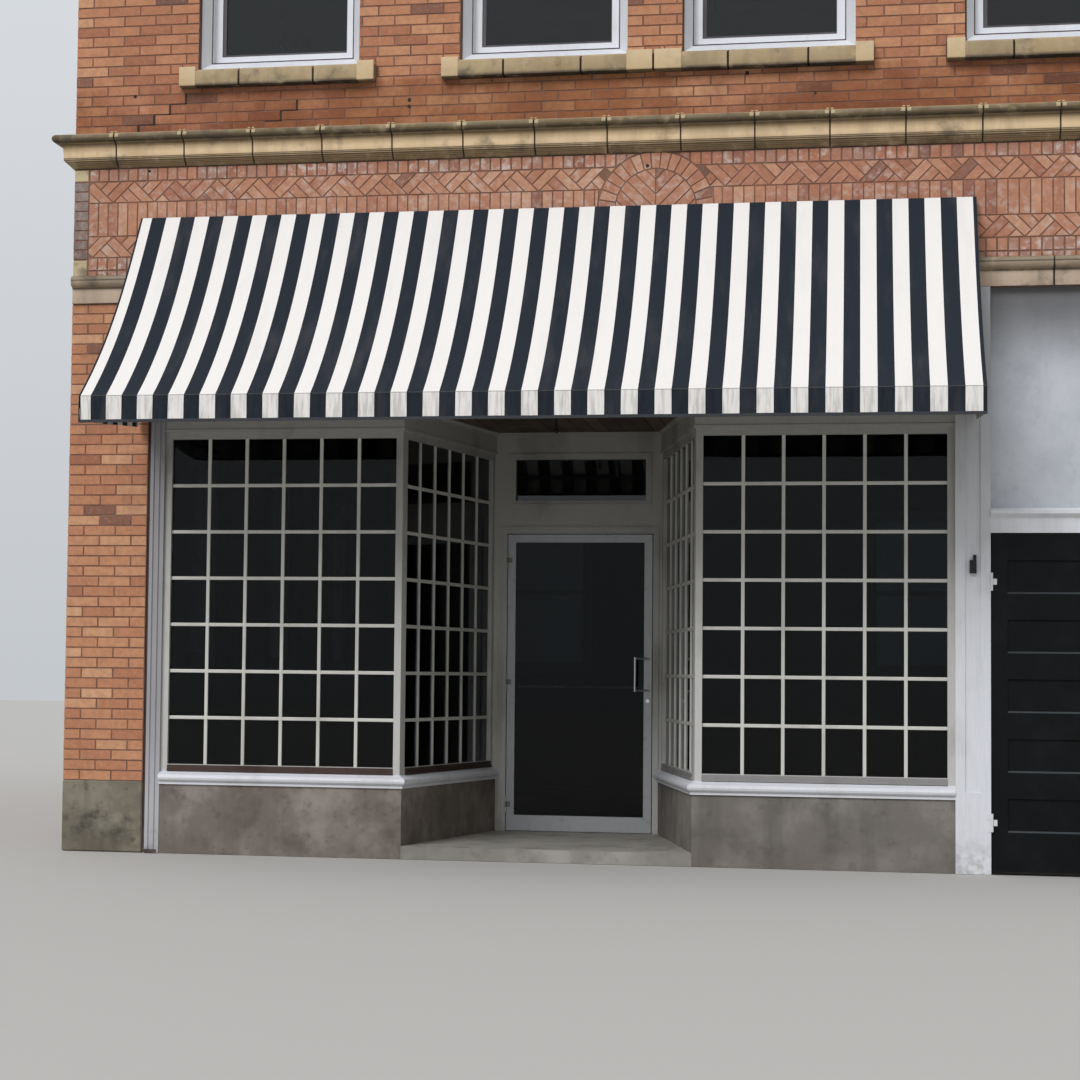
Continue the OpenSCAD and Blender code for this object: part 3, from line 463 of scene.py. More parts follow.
@dataclass(frozen=True)
class Glass(Finish):
    """Float glass, clear and dark in an empty room, under a thin film of dust."""

    tint: str = "#8C979C"
    ior: float = 1.5

    def mix(self, recipe: Recipe) -> None:
        """Clear glass with a slight grey tint and smears that only show in its gloss.

        Args:
            recipe: The node tree of its material.
        """
        rough = recipe.add("ShaderNodeMapRange", {"To Min": 0.0, "To Max": 0.06,
                                                  "Value": recipe.cloud(0.4, 5, 0.4, 0.8)})["Result"]
        recipe.finish(self.tint, rough, Transmission_Weight=1.0, IOR=self.ior)


@dataclass(frozen=True)
class Metal(Finish):
    """Drawn or cast metal: aluminium, steel, brass or iron by its colour and roughness."""

    colour: str = "#B9BCBE"
    metallic: float = 1.0
    rough: float = 0.38
    grain: tuple[float, float, float] = (1.0, 1.0, 0.02)
    spots: str = "#6E6E6C"

    def mix(self, recipe: Recipe) -> None:
        """Drawing lines along the length, fingerprints and dull spots.

        Args:
            recipe: The node tree of its material.
        """
        lines = recipe.cloud(0.004, 3, 0.3, 0.7, self.grain)
        colour = recipe.over(self.colour, self.spots, recipe.cloud(0.05, 6, 0.52, 0.75), 0.5)
        rough = recipe.add("ShaderNodeMapRange", {"To Min": self.rough - 0.08, "To Max": self.rough + 0.14,
                                                  "Value": lines})["Result"]
        recipe.finish(colour, rough, Metallic=self.metallic)
        recipe.relief(lines, 0.08 * MM)


@dataclass(frozen=True)
class KnobMetal(Metal):
    """Metal for the handle or knob, while the hinges at the other edge of the leaf are painted over."""

    painted_to: float = 0.0
    paint: str = "#DADBDB"

    def mix(self, recipe: Recipe) -> None:
        """Metal, and the paint of the frame where X is under a limit.

        Args:
            recipe: The node tree of its material.
        """
        super().mix(recipe)
        painted = recipe.add("ShaderNodeMath", {0: recipe.along["X"], 1: self.painted_to},
                             operation="LESS_THAN")[0]
        bare = recipe.add("ShaderNodeMath", {0: 1.0, 1: painted}, operation="SUBTRACT")[0]
        inputs = recipe.shader.inputs
        metal = inputs["Base Color"].links[0].from_socket
        recipe.feed(inputs["Base Color"], recipe.over(metal, self.paint, painted))
        recipe.feed(inputs["Metallic"], recipe.times(bare, self.metallic))


@dataclass(frozen=True)
class Boards(Finish):
    """Sawn and planed boards laid side by side, worn and stained."""

    width: float = 0.1
    length: float = 2.4
    turn: float = 0.0
    shades: tuple[str, str] = ("#7A5A44", "#5F4635")
    joint: float = 2.2 * MM

    def mix(self, recipe: Recipe) -> None:
        """Board joints, a shade for each board and grain along it.

        Args:
            recipe: The node tree of its material.
        """
        turned = recipe.add("ShaderNodeMapping", {"Rotation": (0, 0, self.turn), "Vector": recipe.where})
        boards = recipe.add("ShaderNodeTexBrick", {
            "Scale": 1.0, "Brick Width": self.length, "Row Height": self.width, "Mortar Size": self.joint,
            "Mortar Smooth": 0.2, "Color1": self.shades[0], "Color2": self.shades[1], "Mortar": "#241B15",
            "Vector": turned["Vector"]})
        grain = recipe.cloud(0.008, 5, 0.3, 0.7, (0.04, 1, 1), self.turn)
        colour = recipe.over(boards["Color"], "#2E231B", grain, 0.4)
        colour = recipe.over(colour, "#98836C", recipe.cloud(0.5, 6, 0.5, 0.75), 0.3)
        recipe.finish(colour, 0.7)
        recipe.relief(recipe.times(boards["Fac"], -1.0), 2.0 * MM)
        recipe.relief(grain, 0.3 * MM)


@dataclass(frozen=True)
class Mosaic(Finish):
    """Small unglazed floor tiles set in grey grout, worn pale by feet."""

    tile: float = 24 * MM
    shades: tuple[str, str] = ("#B9B4A8", "#8F8A80")
    grout: str = "#6A665E"

    def mix(self, recipe: Recipe) -> None:
        """A grid of tiles with their grout sunk, and dirt over all.

        Args:
            recipe: The node tree of its material.
        """
        grid = recipe.add("ShaderNodeTexBrick", {
            "Scale": 1.0, "Brick Width": self.tile, "Row Height": self.tile, "Mortar Size": 1.6 * MM,
            "Mortar Smooth": 0.1, "Color1": self.shades[0], "Color2": self.shades[1], "Mortar": self.grout,
            "Vector": recipe.where}, offset=0.0)
        recipe.finish(recipe.over(grid["Color"], "#5E5A52", recipe.cloud(0.2, 6, 0.45, 0.7), 0.5), 0.6)
        recipe.relief(recipe.times(grid["Fac"], -1.0), 1.0 * MM)


@dataclass(frozen=True)
class Canvas(Finish):
    """Striped awning canvas, woven acrylic: soft sheen, a rib of thread and seams under the eave."""

    stripes: int = 55
    pale: str = "#EEEBE6"
    dark: str = "#1F252E"
    edge: float = 0.0022
    seam: float = 0.081
    phase: float = 0.0042
    thread: float = 3 * MM

    def mix(self, recipe: Recipe) -> None:
        """Stripes across the sheet by its own map, thread, rain marks and a slight sheen.

        Args:
            recipe: The node tree of its material.
        """
        sheet_map = recipe.add("ShaderNodeUVMap", uv_map="cloth")["UV"]
        share = recipe.add("ShaderNodeSeparateXYZ", {"Vector": sheet_map})
        moved = recipe.add("ShaderNodeMath", {0: share["X"], 1: self.phase}, operation="ADD")[0]
        saw = recipe.add("ShaderNodeMath", {0: recipe.times(moved, self.stripes / 2)}, operation="FRACT")[0]
        stripe = recipe.add("ShaderNodeMath", {0: saw, 1: 0.5}, operation="GREATER_THAN")[0]
        colour = recipe.over(self.pale, self.dark, stripe)
        colour = recipe.over(colour, "#8E8A84", recipe.cloud(0.14, 6, 0.48, 0.8, (1, 0.25, 0.25)), 0.10)
        for limit, side in ((self.edge, "LESS_THAN"), (1 - self.edge, "GREATER_THAN")):
            hem = recipe.add("ShaderNodeMath", {0: share["X"], 1: limit}, operation=side)[0]
            colour = recipe.over(colour, self.dark, hem)
        # The valance hangs under a stitched seam, in fine gathered folds that are bumped and darkened:
        # painted shade in the folds
        hang = recipe.add("ShaderNodeMath", {0: share["Y"], 1: self.seam}, operation="LESS_THAN")[0]
        seam = recipe.add("ShaderNodeMath", {0: share["Y"], 1: self.seam, 2: 0.0016}, operation="COMPARE")[0]
        colour = recipe.over(colour, "#5A574F", seam, 0.55)
        gathers_and_fold_shade = recipe.times(recipe.cloud(0.028, 4, 0.42, 0.7, (1, 0.05, 0.12)), hang)
        # Painted shade in the gathered folds
        colour = recipe.over(colour, "#9A9690", gathers_and_fold_shade, 0.45, blend="MULTIPLY")
        recipe.relief(gathers_and_fold_shade, 3.0 * MM)
        recipe.finish(colour, 0.85, Specular_IOR_Level=0.25)
        # The thread is drawn at 3 mm, coarser than real canvas, so that it shows at all
        weave = [recipe.add("ShaderNodeTexWave", {"Scale": 1 / self.thread / 6.283, "Distortion": 0.4,
                                                  "Vector": recipe.where},
                            wave_type="BANDS", bands_direction=axis)["Fac"] for axis in "XZ"]
        recipe.relief(recipe.times(*weave), 0.25 * MM)
        recipe.relief(recipe.cloud(0.08, 4, 0.2, 0.8), 1.2 * MM)


@dataclass(frozen=True)
class Felt(Finish):
    """Roofing felt in laps, gritty and dull, with ponding marks."""

    roll: float = 9.0
    lap: float = 1.0

    def mix(self, recipe: Recipe) -> None:
        """Laps each metre, grit and pale tide marks.

        Args:
            recipe: The node tree of its material.
        """
        laps = recipe.add("ShaderNodeTexBrick", {
            "Scale": 1.0, "Brick Width": self.roll, "Row Height": self.lap, "Mortar Size": 12 * MM,
            "Mortar Smooth": 0.6, "Color1": "#57575A", "Color2": "#4C4C4F", "Mortar": "#2C2C2E",
            "Vector": recipe.where})
        recipe.finish(recipe.over(laps["Color"], "#7D7B76", recipe.cloud(0.9, 7, 0.5, 0.7), 0.5), 0.95)
        recipe.relief(recipe.times(laps["Fac"], -1.0), 4.0 * MM)
        recipe.relief(recipe.cloud(0.004, 2, 0.2, 0.8), 0.8 * MM)


SOFT_WHITE, GREY_DIRT = "#E0E2E6", "#94918A"
WHITE = Paint("white_timber", SOFT_WHITE, GREY_DIRT, 0.28)
WINDOWS = Paint("window_timber", "#E6E8EC", GREY_DIRT, 0.28)
# Pilaster paint with painted shade under the awning and a grey corner, in part painted shade of the pier
PILASTERS = Paint("pilaster_timber", SOFT_WHITE, GREY_DIRT, 0.28, shade=(1.7, 3.1, 0.45), grey_and_shaded_left_of=-3.0)
GREY_TRIM = Paint("grey_trim_timber", "#8F8D8B", "#5E5B57", 0.45)
# White paint dimmed to grey: painted shade on the shopfront woodwork under the awning
WHITE_IN_PAINTED_SHADE = Paint("shaded_timber", "#C6C5C0", "#77736A", 0.42, shade=(1.3, 2.9, 0.45))
BARS = Paint("bar_timber", "#D4D3CB", "#8A867A", 0.35)
BROWN = Paint("brown_timber", "#3D2A22", "#241A15", 0.5, 0.6, (0.03, 1.0, 1.0))
FRONT_BRICK = Brick("front_brick", darker_under_sills=(4.65, 4.96))
SIDE_BRICK = Brick("common_brick", ("#7A4C3C", "#8E5A45", "#A0684F", "#AC745A", "#B58062", "#BD8A69"),
                   soot=0.5)
LIMED_BRICK = Brick("limed_brick", ("#7A645C", "#A06A55", "#B87C61", "#A98474", "#C28869", "#9A6450"),
                    lime=0.95, soot=0.3)
FRIEZE_BRICK = Brick("frieze_brick", ("#7E5E53", "#A46C55", "#B47C61", "#C0896C", "#C89678", "#D2A88E"),
                     lime=0.5, soot=0.3)
QUOIN_BRICK = Brick("quoin_brick", ("#6E6662", "#857C76", "#77706C", "#8E8580", "#6A6460", "#938A84"),
                    lime=0.3, soot=0.4)
BUFF_STONE = BandStone("quoin_stone", profile=((0.0, "#C4B08A"), (1.0, "#C9B790")), grime=0.5)
CORE = WallCore("wall_core")
GAP = Render("stone_joint", "#2B251F", "#3A3129", "#17130F", 0.0)
CONCRETE = Render("pier_concrete", "#716B5C", "#8E8877", "#35312A", 0.15, 0.85)
RENDER = Render("bulkhead_render", "#766D65", "#958C83", "#4F4842", 0.20, 0.7)
SLAB = Render("floor_slab", "#8E8A82", "#A5A198", "#6A665F", 0.0)
GREY_RENDER = Render("grey_bulkhead_render", "#736E67", "#8A857E", "#4B4742", 0.25, 0.5)
# Bluish plaster, its head darker with soot and painted shadow of the moulding over the panel
PLASTER = Render("bluish_plaster", "#BCC0C6", "#C6CACF", "#A0A4AA", 0.0, 0.4, shade=(2.95, 3.5))
COPING = Render("coping_concrete", "#8F8B80", "#A8A498", "#5A564D", 0.0)
SILL_FOOT = UPPER_SILL - SILL_H
SILL_STONE = BandStone("sill_stone", SILL_FOOT, SILL_H, (
    (0.0, "#2B251D"), (0.06, "#5C4D38"), (0.18, "#A38E69"), (0.45, "#AE9873"), (1.0, "#BAA47E")), 0.55)
EAR_STONE = BandStone("sill_ear_stone", SILL_FOOT, SILL_H, (
    (0.0, "#6E5F47"), (0.07, "#C9AF84"), (1.0, "#D8BF98")), 0.15)
SIDE_STONE = BandStone("side_stone", 0.0, 8.0, ((0.0, "#BFAF86"), (1.0, "#C4B48B")), 0.4)
LINTEL_STONE = BandStone("lintel_stone", 0.0, 8.0, ((0.0, "#C2B089"), (1.0, "#CBBB96")), 0.4)
# Dark paint for the ring that paints the shade on each sash's inner side round its pane
PAINTED_SASH_SHADE = Paint("painted_sash_shade", "#4F4B4D", "#2E2A2A", 0.4, 0.6)
ALUMINIUM = Metal("door_aluminium", "#A9ABAC", 0.55, 0.46, spots="#7F8080")
# Pale and part diffuse, so that the handle shows a painted reflection of the sky
STEEL = KnobMetal("door_ironmongery", "#DDDFE0", 0.75, 0.3, (0.02, 1.0, 1.0), "#8A8C8D",
                  painted_to=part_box("shop_door")[0].x + 0.06, paint="#707274")
BRASS = KnobMetal("old_brass", "#8F7440", 1.0, 0.38, (1, 1, 1), "#4E4228",
                  painted_to=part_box("side_door_hardware")[1].x - 0.3)
IRON = Metal("black_iron", "#26282A", 0.6, 0.55, (1, 1, 1), "#5B3A28")
TUBE = Metal("frame_tube", "#9FA2A4", 0.9, 0.42, (0.02, 1, 1), "#6F5B4A")
BLACK = BlackPaint("black_door_paint")
GLASS = Glass("plate_glass")
SHOP_GLASS = Glass("shop_glass", "#7D888C", 1.26)
DOOR_GLASS = Glass("door_glass", "#6A7478", 1.25)
REAR_GLASS = Glass("side_glass", "#262A2D")
CANVAS = Canvas("striped_canvas")
BINDING = Paint("canvas_binding", "#262A30", "#4A4A48", 0.4, 0.7, (0.05, 1, 1))
FLOORS = Boards("floor_boards", 0.12, 2.4)
SOFFIT = Boards("soffit_boards", 0.102, 3.0, math.pi / 2, ("#6A584B", "#3B3029"), 6 * MM)
SPECKLED = Mosaic("speckled_line", 17 * MM, ("#6F6B64", "#C8C3B8"), "#57534C")
FIELD = Mosaic("pale_field", 24 * MM, ("#B5B1A7", "#A5A197"), "#77736A")
BORDER = Render("landing_border", "#8B8880", "#A29F96", "#65625B", 0.0)
FELT = Felt("roof_felt")


def dress(node: str, finish: Finish) -> None:
    """Gives a CAD node its finish.

    Args:
        node: The node, which shows with the mesh it came with.
        finish: Its finish.
    """
    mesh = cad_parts[node].data
    mesh.materials.clear()
    mesh.materials.append(finish.material())


def make_piece(name: str, bm: BMesh, finishes: Finish | Sequence[Finish],
               body: str = "building", replaces: Iterable[str] = (), smooth: float = 0.0) -> bpy.types.Object:
    """Turns a finished bmesh into a piece that rides on a body.

    Args:
        name: Name of the piece.
        bm: Its shape in the row frame, freed here.
        finishes: Its finish, or one for each material index.
        body: The body that it moves with.
        replaces: CAD nodes that it stands for.
        smooth: Angle in degrees under which two faces shade as one round surface.

    Returns:
        The new object.
    """
    mesh = bpy.data.meshes.new(name)
    if smooth:
        for face in bm.faces:
            face.smooth = True
    bm.to_mesh(mesh)
    bm.free()
    if smooth:
        mesh.set_sharp_from_angle(angle=math.radians(smooth))
    for finish in ([finishes] if isinstance(finishes, Finish) else finishes):
        mesh.materials.append(finish.material())
    piece = bpy.data.objects.new(name, mesh)
    bpy.context.scene.collection.objects.link(piece)
    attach(piece, body)
    if replaces:
        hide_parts(*replaces)
    LOG.info("%s: %d faces", name, len(mesh.polygons))
    return piece


def add_box(bm: BMesh, low: Sequence[float], high: Sequence[float],
            matrix: Matrix = Matrix.Identity(4)) -> None:
    """Adds a block between two corners.

    Args:
        bm: The mesh it joins.
        low: Its lowest corner.
        high: Its highest corner.
        matrix: The frame that the corners are in.
    """
    low, high = Vector(low), Vector(high)
    shape = Matrix.Translation((low + high) / 2) @ Matrix.Diagonal((*(high - low), 1.0))
    bmesh.ops.create_cube(bm, size=1.0, matrix=matrix @ shape)


def soften(bm: BMesh, width: float, segments: int = 1) -> None:
    """Takes every sharp arris off by a width."""
    edges = [e for e in bm.edges if len(e.link_faces) == 2 and e.calc_face_angle(0) > 0.5]
    bmesh.ops.bevel(bm, geom=edges, offset=width, offset_type="OFFSET", segments=segments, profile=0.5,
                    affect="EDGES", clamp_overlap=True, material=-1)


def copy_of(node: str) -> BMesh:
    """A copy of a CAD node's mesh with its corners joined and its flat faces whole.

    Args:
        node: The node, which is left as it is.

    Returns:
        The copy.
    """
    bm = bmesh.new()
    bm.from_mesh(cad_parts[node].data)
    bmesh.ops.remove_doubles(bm, verts=bm.verts, dist=1e-5)
    bmesh.ops.dissolve_limit(bm, angle_limit=math.radians(0.5), verts=bm.verts, edges=bm.edges)
    return bm


class Axis(IntEnum):
    """The axes of the row frame."""

    X = 0
    Y = 1
    Z = 2


def cut_across(bm: BMesh, axis: Axis, place: float, facing: float = 1.0, clear: bool = False) -> list:
    """Cuts a mesh by a plane across an axis.

    Args:
        bm: The mesh.
        axis: The axis that the plane stands across.
        place: Where the plane crosses that axis.
        facing: 1 for a plane that faces up the axis, -1 for one that faces down it.
        clear: Whether what lies in front of the plane goes.

    Returns:
        The vertices and edges that lie on the plane.
    """
    normal, point = Vector((0, 0, 0)), Vector((0, 0, 0))
    normal[axis], point[axis] = facing, place
    return bmesh.ops.bisect_plane(bm, geom=bm.verts[:] + bm.edges[:] + bm.faces[:], dist=1e-6,
                                  plane_co=point, plane_no=normal, clear_outer=clear)["geom_cut"]


def keep_between(bm: BMesh, axis: Axis, low: float, high: float) -> BMesh | None:
    """The closed part of a mesh between two planes across an axis.

    Args:
        bm: The mesh, which is left as it is.
        axis: The axis that the planes stand across.
        low: The lower plane.
        high: The upper plane.

    Returns:
        The part, or None where nothing lies between the planes.
    """
    part = bm.copy()
    for place, facing in ((low, -1.0), (high, 1.0)):
        cut = cut_across(part, axis, place, facing, clear=True)
        edges = [g for g in cut if isinstance(g, bmesh.types.BMEdge) and len(g.link_faces) == 1]
        if edges:
            bmesh.ops.edgenet_fill(part, edges=edges)
    if not part.faces:
        part.free()
        return None
    bmesh.ops.recalc_face_normals(part, faces=part.faces)
    return part


def join(target: BMesh, part: BMesh) -> None:
    """Moves everything in a part into another mesh.

    Args:
        target: The mesh that grows.
        part: What joins it, freed here.
    """
    mesh = bpy.data.meshes.new("joining")
    part.to_mesh(mesh)
    part.free()
    target.from_mesh(mesh)
    bpy.data.meshes.remove(mesh)


def outline_of(shape: Rect | Sequence[Point]) -> list[Point]:
    """The outline (u, z) of a brick.

    Args:
        shape: A rectangle (u0, u1, z0, z1), or an outline already.

    Returns:
        Its corners, counter-clockwise as seen from outside.
    """
    if len(shape) == 4 and isinstance(shape[0], float):
        u0, u1, z0, z1 = shape
        return [(u0, z0), (u1, z0), (u1, z1), (u0, z1)]
    return list(shape)


def clip(rects: Iterable[Rect], holes: Sequence[Rect], least: float) -> list[Rect]:
    """Cuts holes out of rectangles, and drops what is too narrow to be a cut brick.

    Args:
        rects: Rectangles (u0, u1, z0, z1).
        holes: Rectangles to leave out.
        least: Least width and height of what is kept.

    Returns:
        The rectangles that are left.
    """
    left = list(rects)
    for h0, h1, k0, k1 in holes:
        after = []
        for u0, u1, z0, z1 in left:
            if u1 <= h0 or u0 >= h1 or z1 <= k0 or z0 >= k1:
                after.append((u0, u1, z0, z1))
                continue
            after += [(u0, h0, z0, z1), (h1, u1, z0, z1),
                      (max(u0, h0), min(u1, h1), z0, k0), (max(u0, h0), min(u1, h1), k1, z1)]
        left = [r for r in after if r[1] - r[0] > least and r[3] - r[2] > least]
    return left


class Side(Enum):
    """The sides of the building, each by its turn round Z from the street front, in degrees."""

    FRONT = 0
    LEFT = -90
    RIGHT = 90
    REAR = 180

    def face(self, out: float) -> Matrix:
        """The frame of a wall face that is drawn in (u, 0, z) and faces -Y before it is turned.

        Args:
            out: Distance of the face from the middle of the building.

        Returns:
            The matrix from that frame to the row frame.
        """
        return Matrix.Rotation(math.radians(self.value), 4, "Z") @ Matrix.Translation((0, -out, 0))


@dataclass
class Shell:
    """The outside faces of the building, read from the CAD."""

    half_w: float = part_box("party_wall")[1].x
    half_d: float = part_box("rear_wall")[1].y
    top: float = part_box("party_wall")[1].z
    wall_back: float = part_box("upper_front_wall")[1].y

    def face(self, side: Side) -> Matrix:
        """The frame of the outside face on a side."""
        return side.face(self.half_d if side in (Side.FRONT, Side.REAR) else self.half_w)


@dataclass
class Brickwork:
    """Bricks of one finish on the face of a wall, each a thin closed block with arrises and a shade."""

    course: float = COURSE
    unit: float = STRETCHER
    joint: float = 7 * MM
    proud: float = 3.5 * MM
    arris: float = 1.5 * MM
    bed: float = 2 * MM
    least: float = 22 * MM
    burnt: float = 0.035
    burnt_tone: float = 0.08
    tone: float = 0.56
    wander: float = 0.7 * MM
    bm: BMesh = field(default_factory=bmesh.new)
    dice: random.Random = field(default_factory=lambda: random.Random(7))

    def bond(self, u0: float, u1: float, z0: float, z1: float, offset: float = 0.0) -> list[Rect]:
        """Running bond between two heights.

        Args:
            u0: Left end of the wall.
            u1: Right end of the wall.
            z0: Foot of the first course.
            z1: Top of the last course.
            offset: How far the bond is moved along, as at a pier that starts elsewhere.

        Returns:
            A rectangle for each brick, joints included.
        """
        rects = []
        row = 0
        low = z0
        while low < z1 - 5 * MM:
            high = min(low + self.course, z1)
            left = u0 + offset - (self.unit / 2 if row % 2 == 0 else 0) - self.unit
            while left < u1:
                a, b = max(left, u0), min(left + self.unit, u1)
                if b - a > self.least:
                    rects.append((a, b, low, high))
                left += self.unit
            low = high
            row += 1
        return rects

    def row(self, u0: float, u1: float, z0: float, z1: float, pitch: float) -> list[Rect]:
        """A row of bricks on edge or on end, their pitch evened out to fill the length.

        Args:
            u0: Left end of the row.
            u1: Right end of the row.
            z0: Foot of the row.
            z1: Top of the row.
            pitch: Width of a brick with its joint, before it is evened out.

        Returns:
            A rectangle for each brick, joints included.
        """
        count = max(1, round((u1 - u0) / pitch))
        step = (u1 - u0) / count
        return [(u0 + i * step, u0 + (i + 1) * step, z0, z1) for i in range(count)]

    def lay(self, shapes: Iterable[Rect | Sequence[Point]], matrix: Matrix, lift: float = 0.0) -> None:
        """Stands the bricks on a wall face.

        Args:
            shapes: Rectangles or outlines (u, z), counter-clockwise as seen from outside, joints included.
            matrix: The frame of the wall face.
            lift: Extra height off the wall.
        """
        flat = bmesh.new()
        tone = flat.faces.layers.float.new("tone")
        for shape in shapes:
            face = flat.faces.new([flat.verts.new((u, self.bed, z)) for u, z in outline_of(shape)])
            x, _, z = face.calc_center_median()
            # Broad patches of paler and darker brick run over the wall
            patch = 0.10 * math.sin(1.7 * x + 0.6 * z) + 0.08 * math.sin(2.9 * z - x)
            burnt = self.dice.random() < self.burnt
            shade = self.burnt_tone if burnt else self.dice.gauss(self.tone + patch, 0.16)
            face[tone] = min(1.0, max(0.0, shade))
        flat.normal_update()
        rims = bmesh.ops.inset_individual(flat, faces=flat.faces[:], thickness=self.joint / 2,
                                          use_even_offset=True)
        bmesh.ops.delete(flat, geom=rims["faces"], context="FACES")
        for face in flat.faces:
            push = self.dice.uniform(-0.6, 0.6) * MM
            for vert in face.verts:
                vert.co.x += self.dice.uniform(-self.wander, self.wander)
                vert.co.z += self.dice.uniform(-self.wander, self.wander)
                vert.co.y += push
        fronts = flat.faces[:]
        copies = bmesh.ops.duplicate(flat, geom=fronts)["geom"]
        backs = [g for g in copies if isinstance(g, bmesh.types.BMFace)]
        bmesh.ops.reverse_faces(flat, faces=backs)
        bmesh.ops.inset_individual(flat, faces=fronts, thickness=self.arris,
                                   depth=self.proud + self.bed + lift, use_even_offset=True)
        bmesh.ops.remove_doubles(flat, verts=flat.verts, dist=1e-6)
        flat.transform(matrix)
        join(self.bm, flat)

    def jambs(self, opening: Rect, depth: float, matrix: Matrix) -> None:
        """Bricks on the two reveals of an opening.

        Args:
            opening: The opening (u0, u1, z0, z1).
            depth: How deep the reveal is before the window frame.
            matrix: The frame of the wall face.
        """
        u0, u1, z0, z1 = opening
        far = depth + self.joint / 2
        feet = [z0 + i * self.course for i in range(math.ceil((z1 - z0) / self.course))]
        for place, turn, ends in ((u0, 90, (0.0, far)), (u1, -90, (-far, 0.0))):
            jamb = matrix @ Matrix.Translation((place, 0, 0)) @ Matrix.Rotation(math.radians(turn), 4, "Z")
            rows = [(*ends, z, min(z + self.course, z1)) for z in feet if z1 - z > self.least]
            self.lay(rows, jamb, -self.proud + 1 * MM)


@dataclass
class Openings:
    """Window openings in a wall face, with the stones over and under them."""

    centres: tuple[float, ...]
    sills: tuple[float, ...]
    width: float = 1.072
    height: float = 1.650
    sill_h: float = SILL_H
    lintel_h: float = 0.198
    ear: float = 0.110

    def clear(self) -> list[Rect]:
        """The openings themselves."""
        return [(x - self.width / 2, x + self.width / 2, z, z + self.height)
                for x in self.centres for z in self.sills]

    def holes(self, joint: float) -> list[Rect]:
        """What the bricks leave out: openings, sills and lintels, so that brick ends meet them.

        Args:
            joint: The joint of the bricks.

        Returns:
            A rectangle for each.
        """
        inner, outer = self.width / 2 - joint / 2, self.width / 2 + self.ear
        found = []
        for x in self.centres:
            for z in self.sills:
                head = z + self.height
                found += [(x - inner, x + inner, z, head), (x - outer, x + outer, z - self.sill_h, z),
                          (x - outer, x + outer, head, head + self.lintel_h)]
        return found


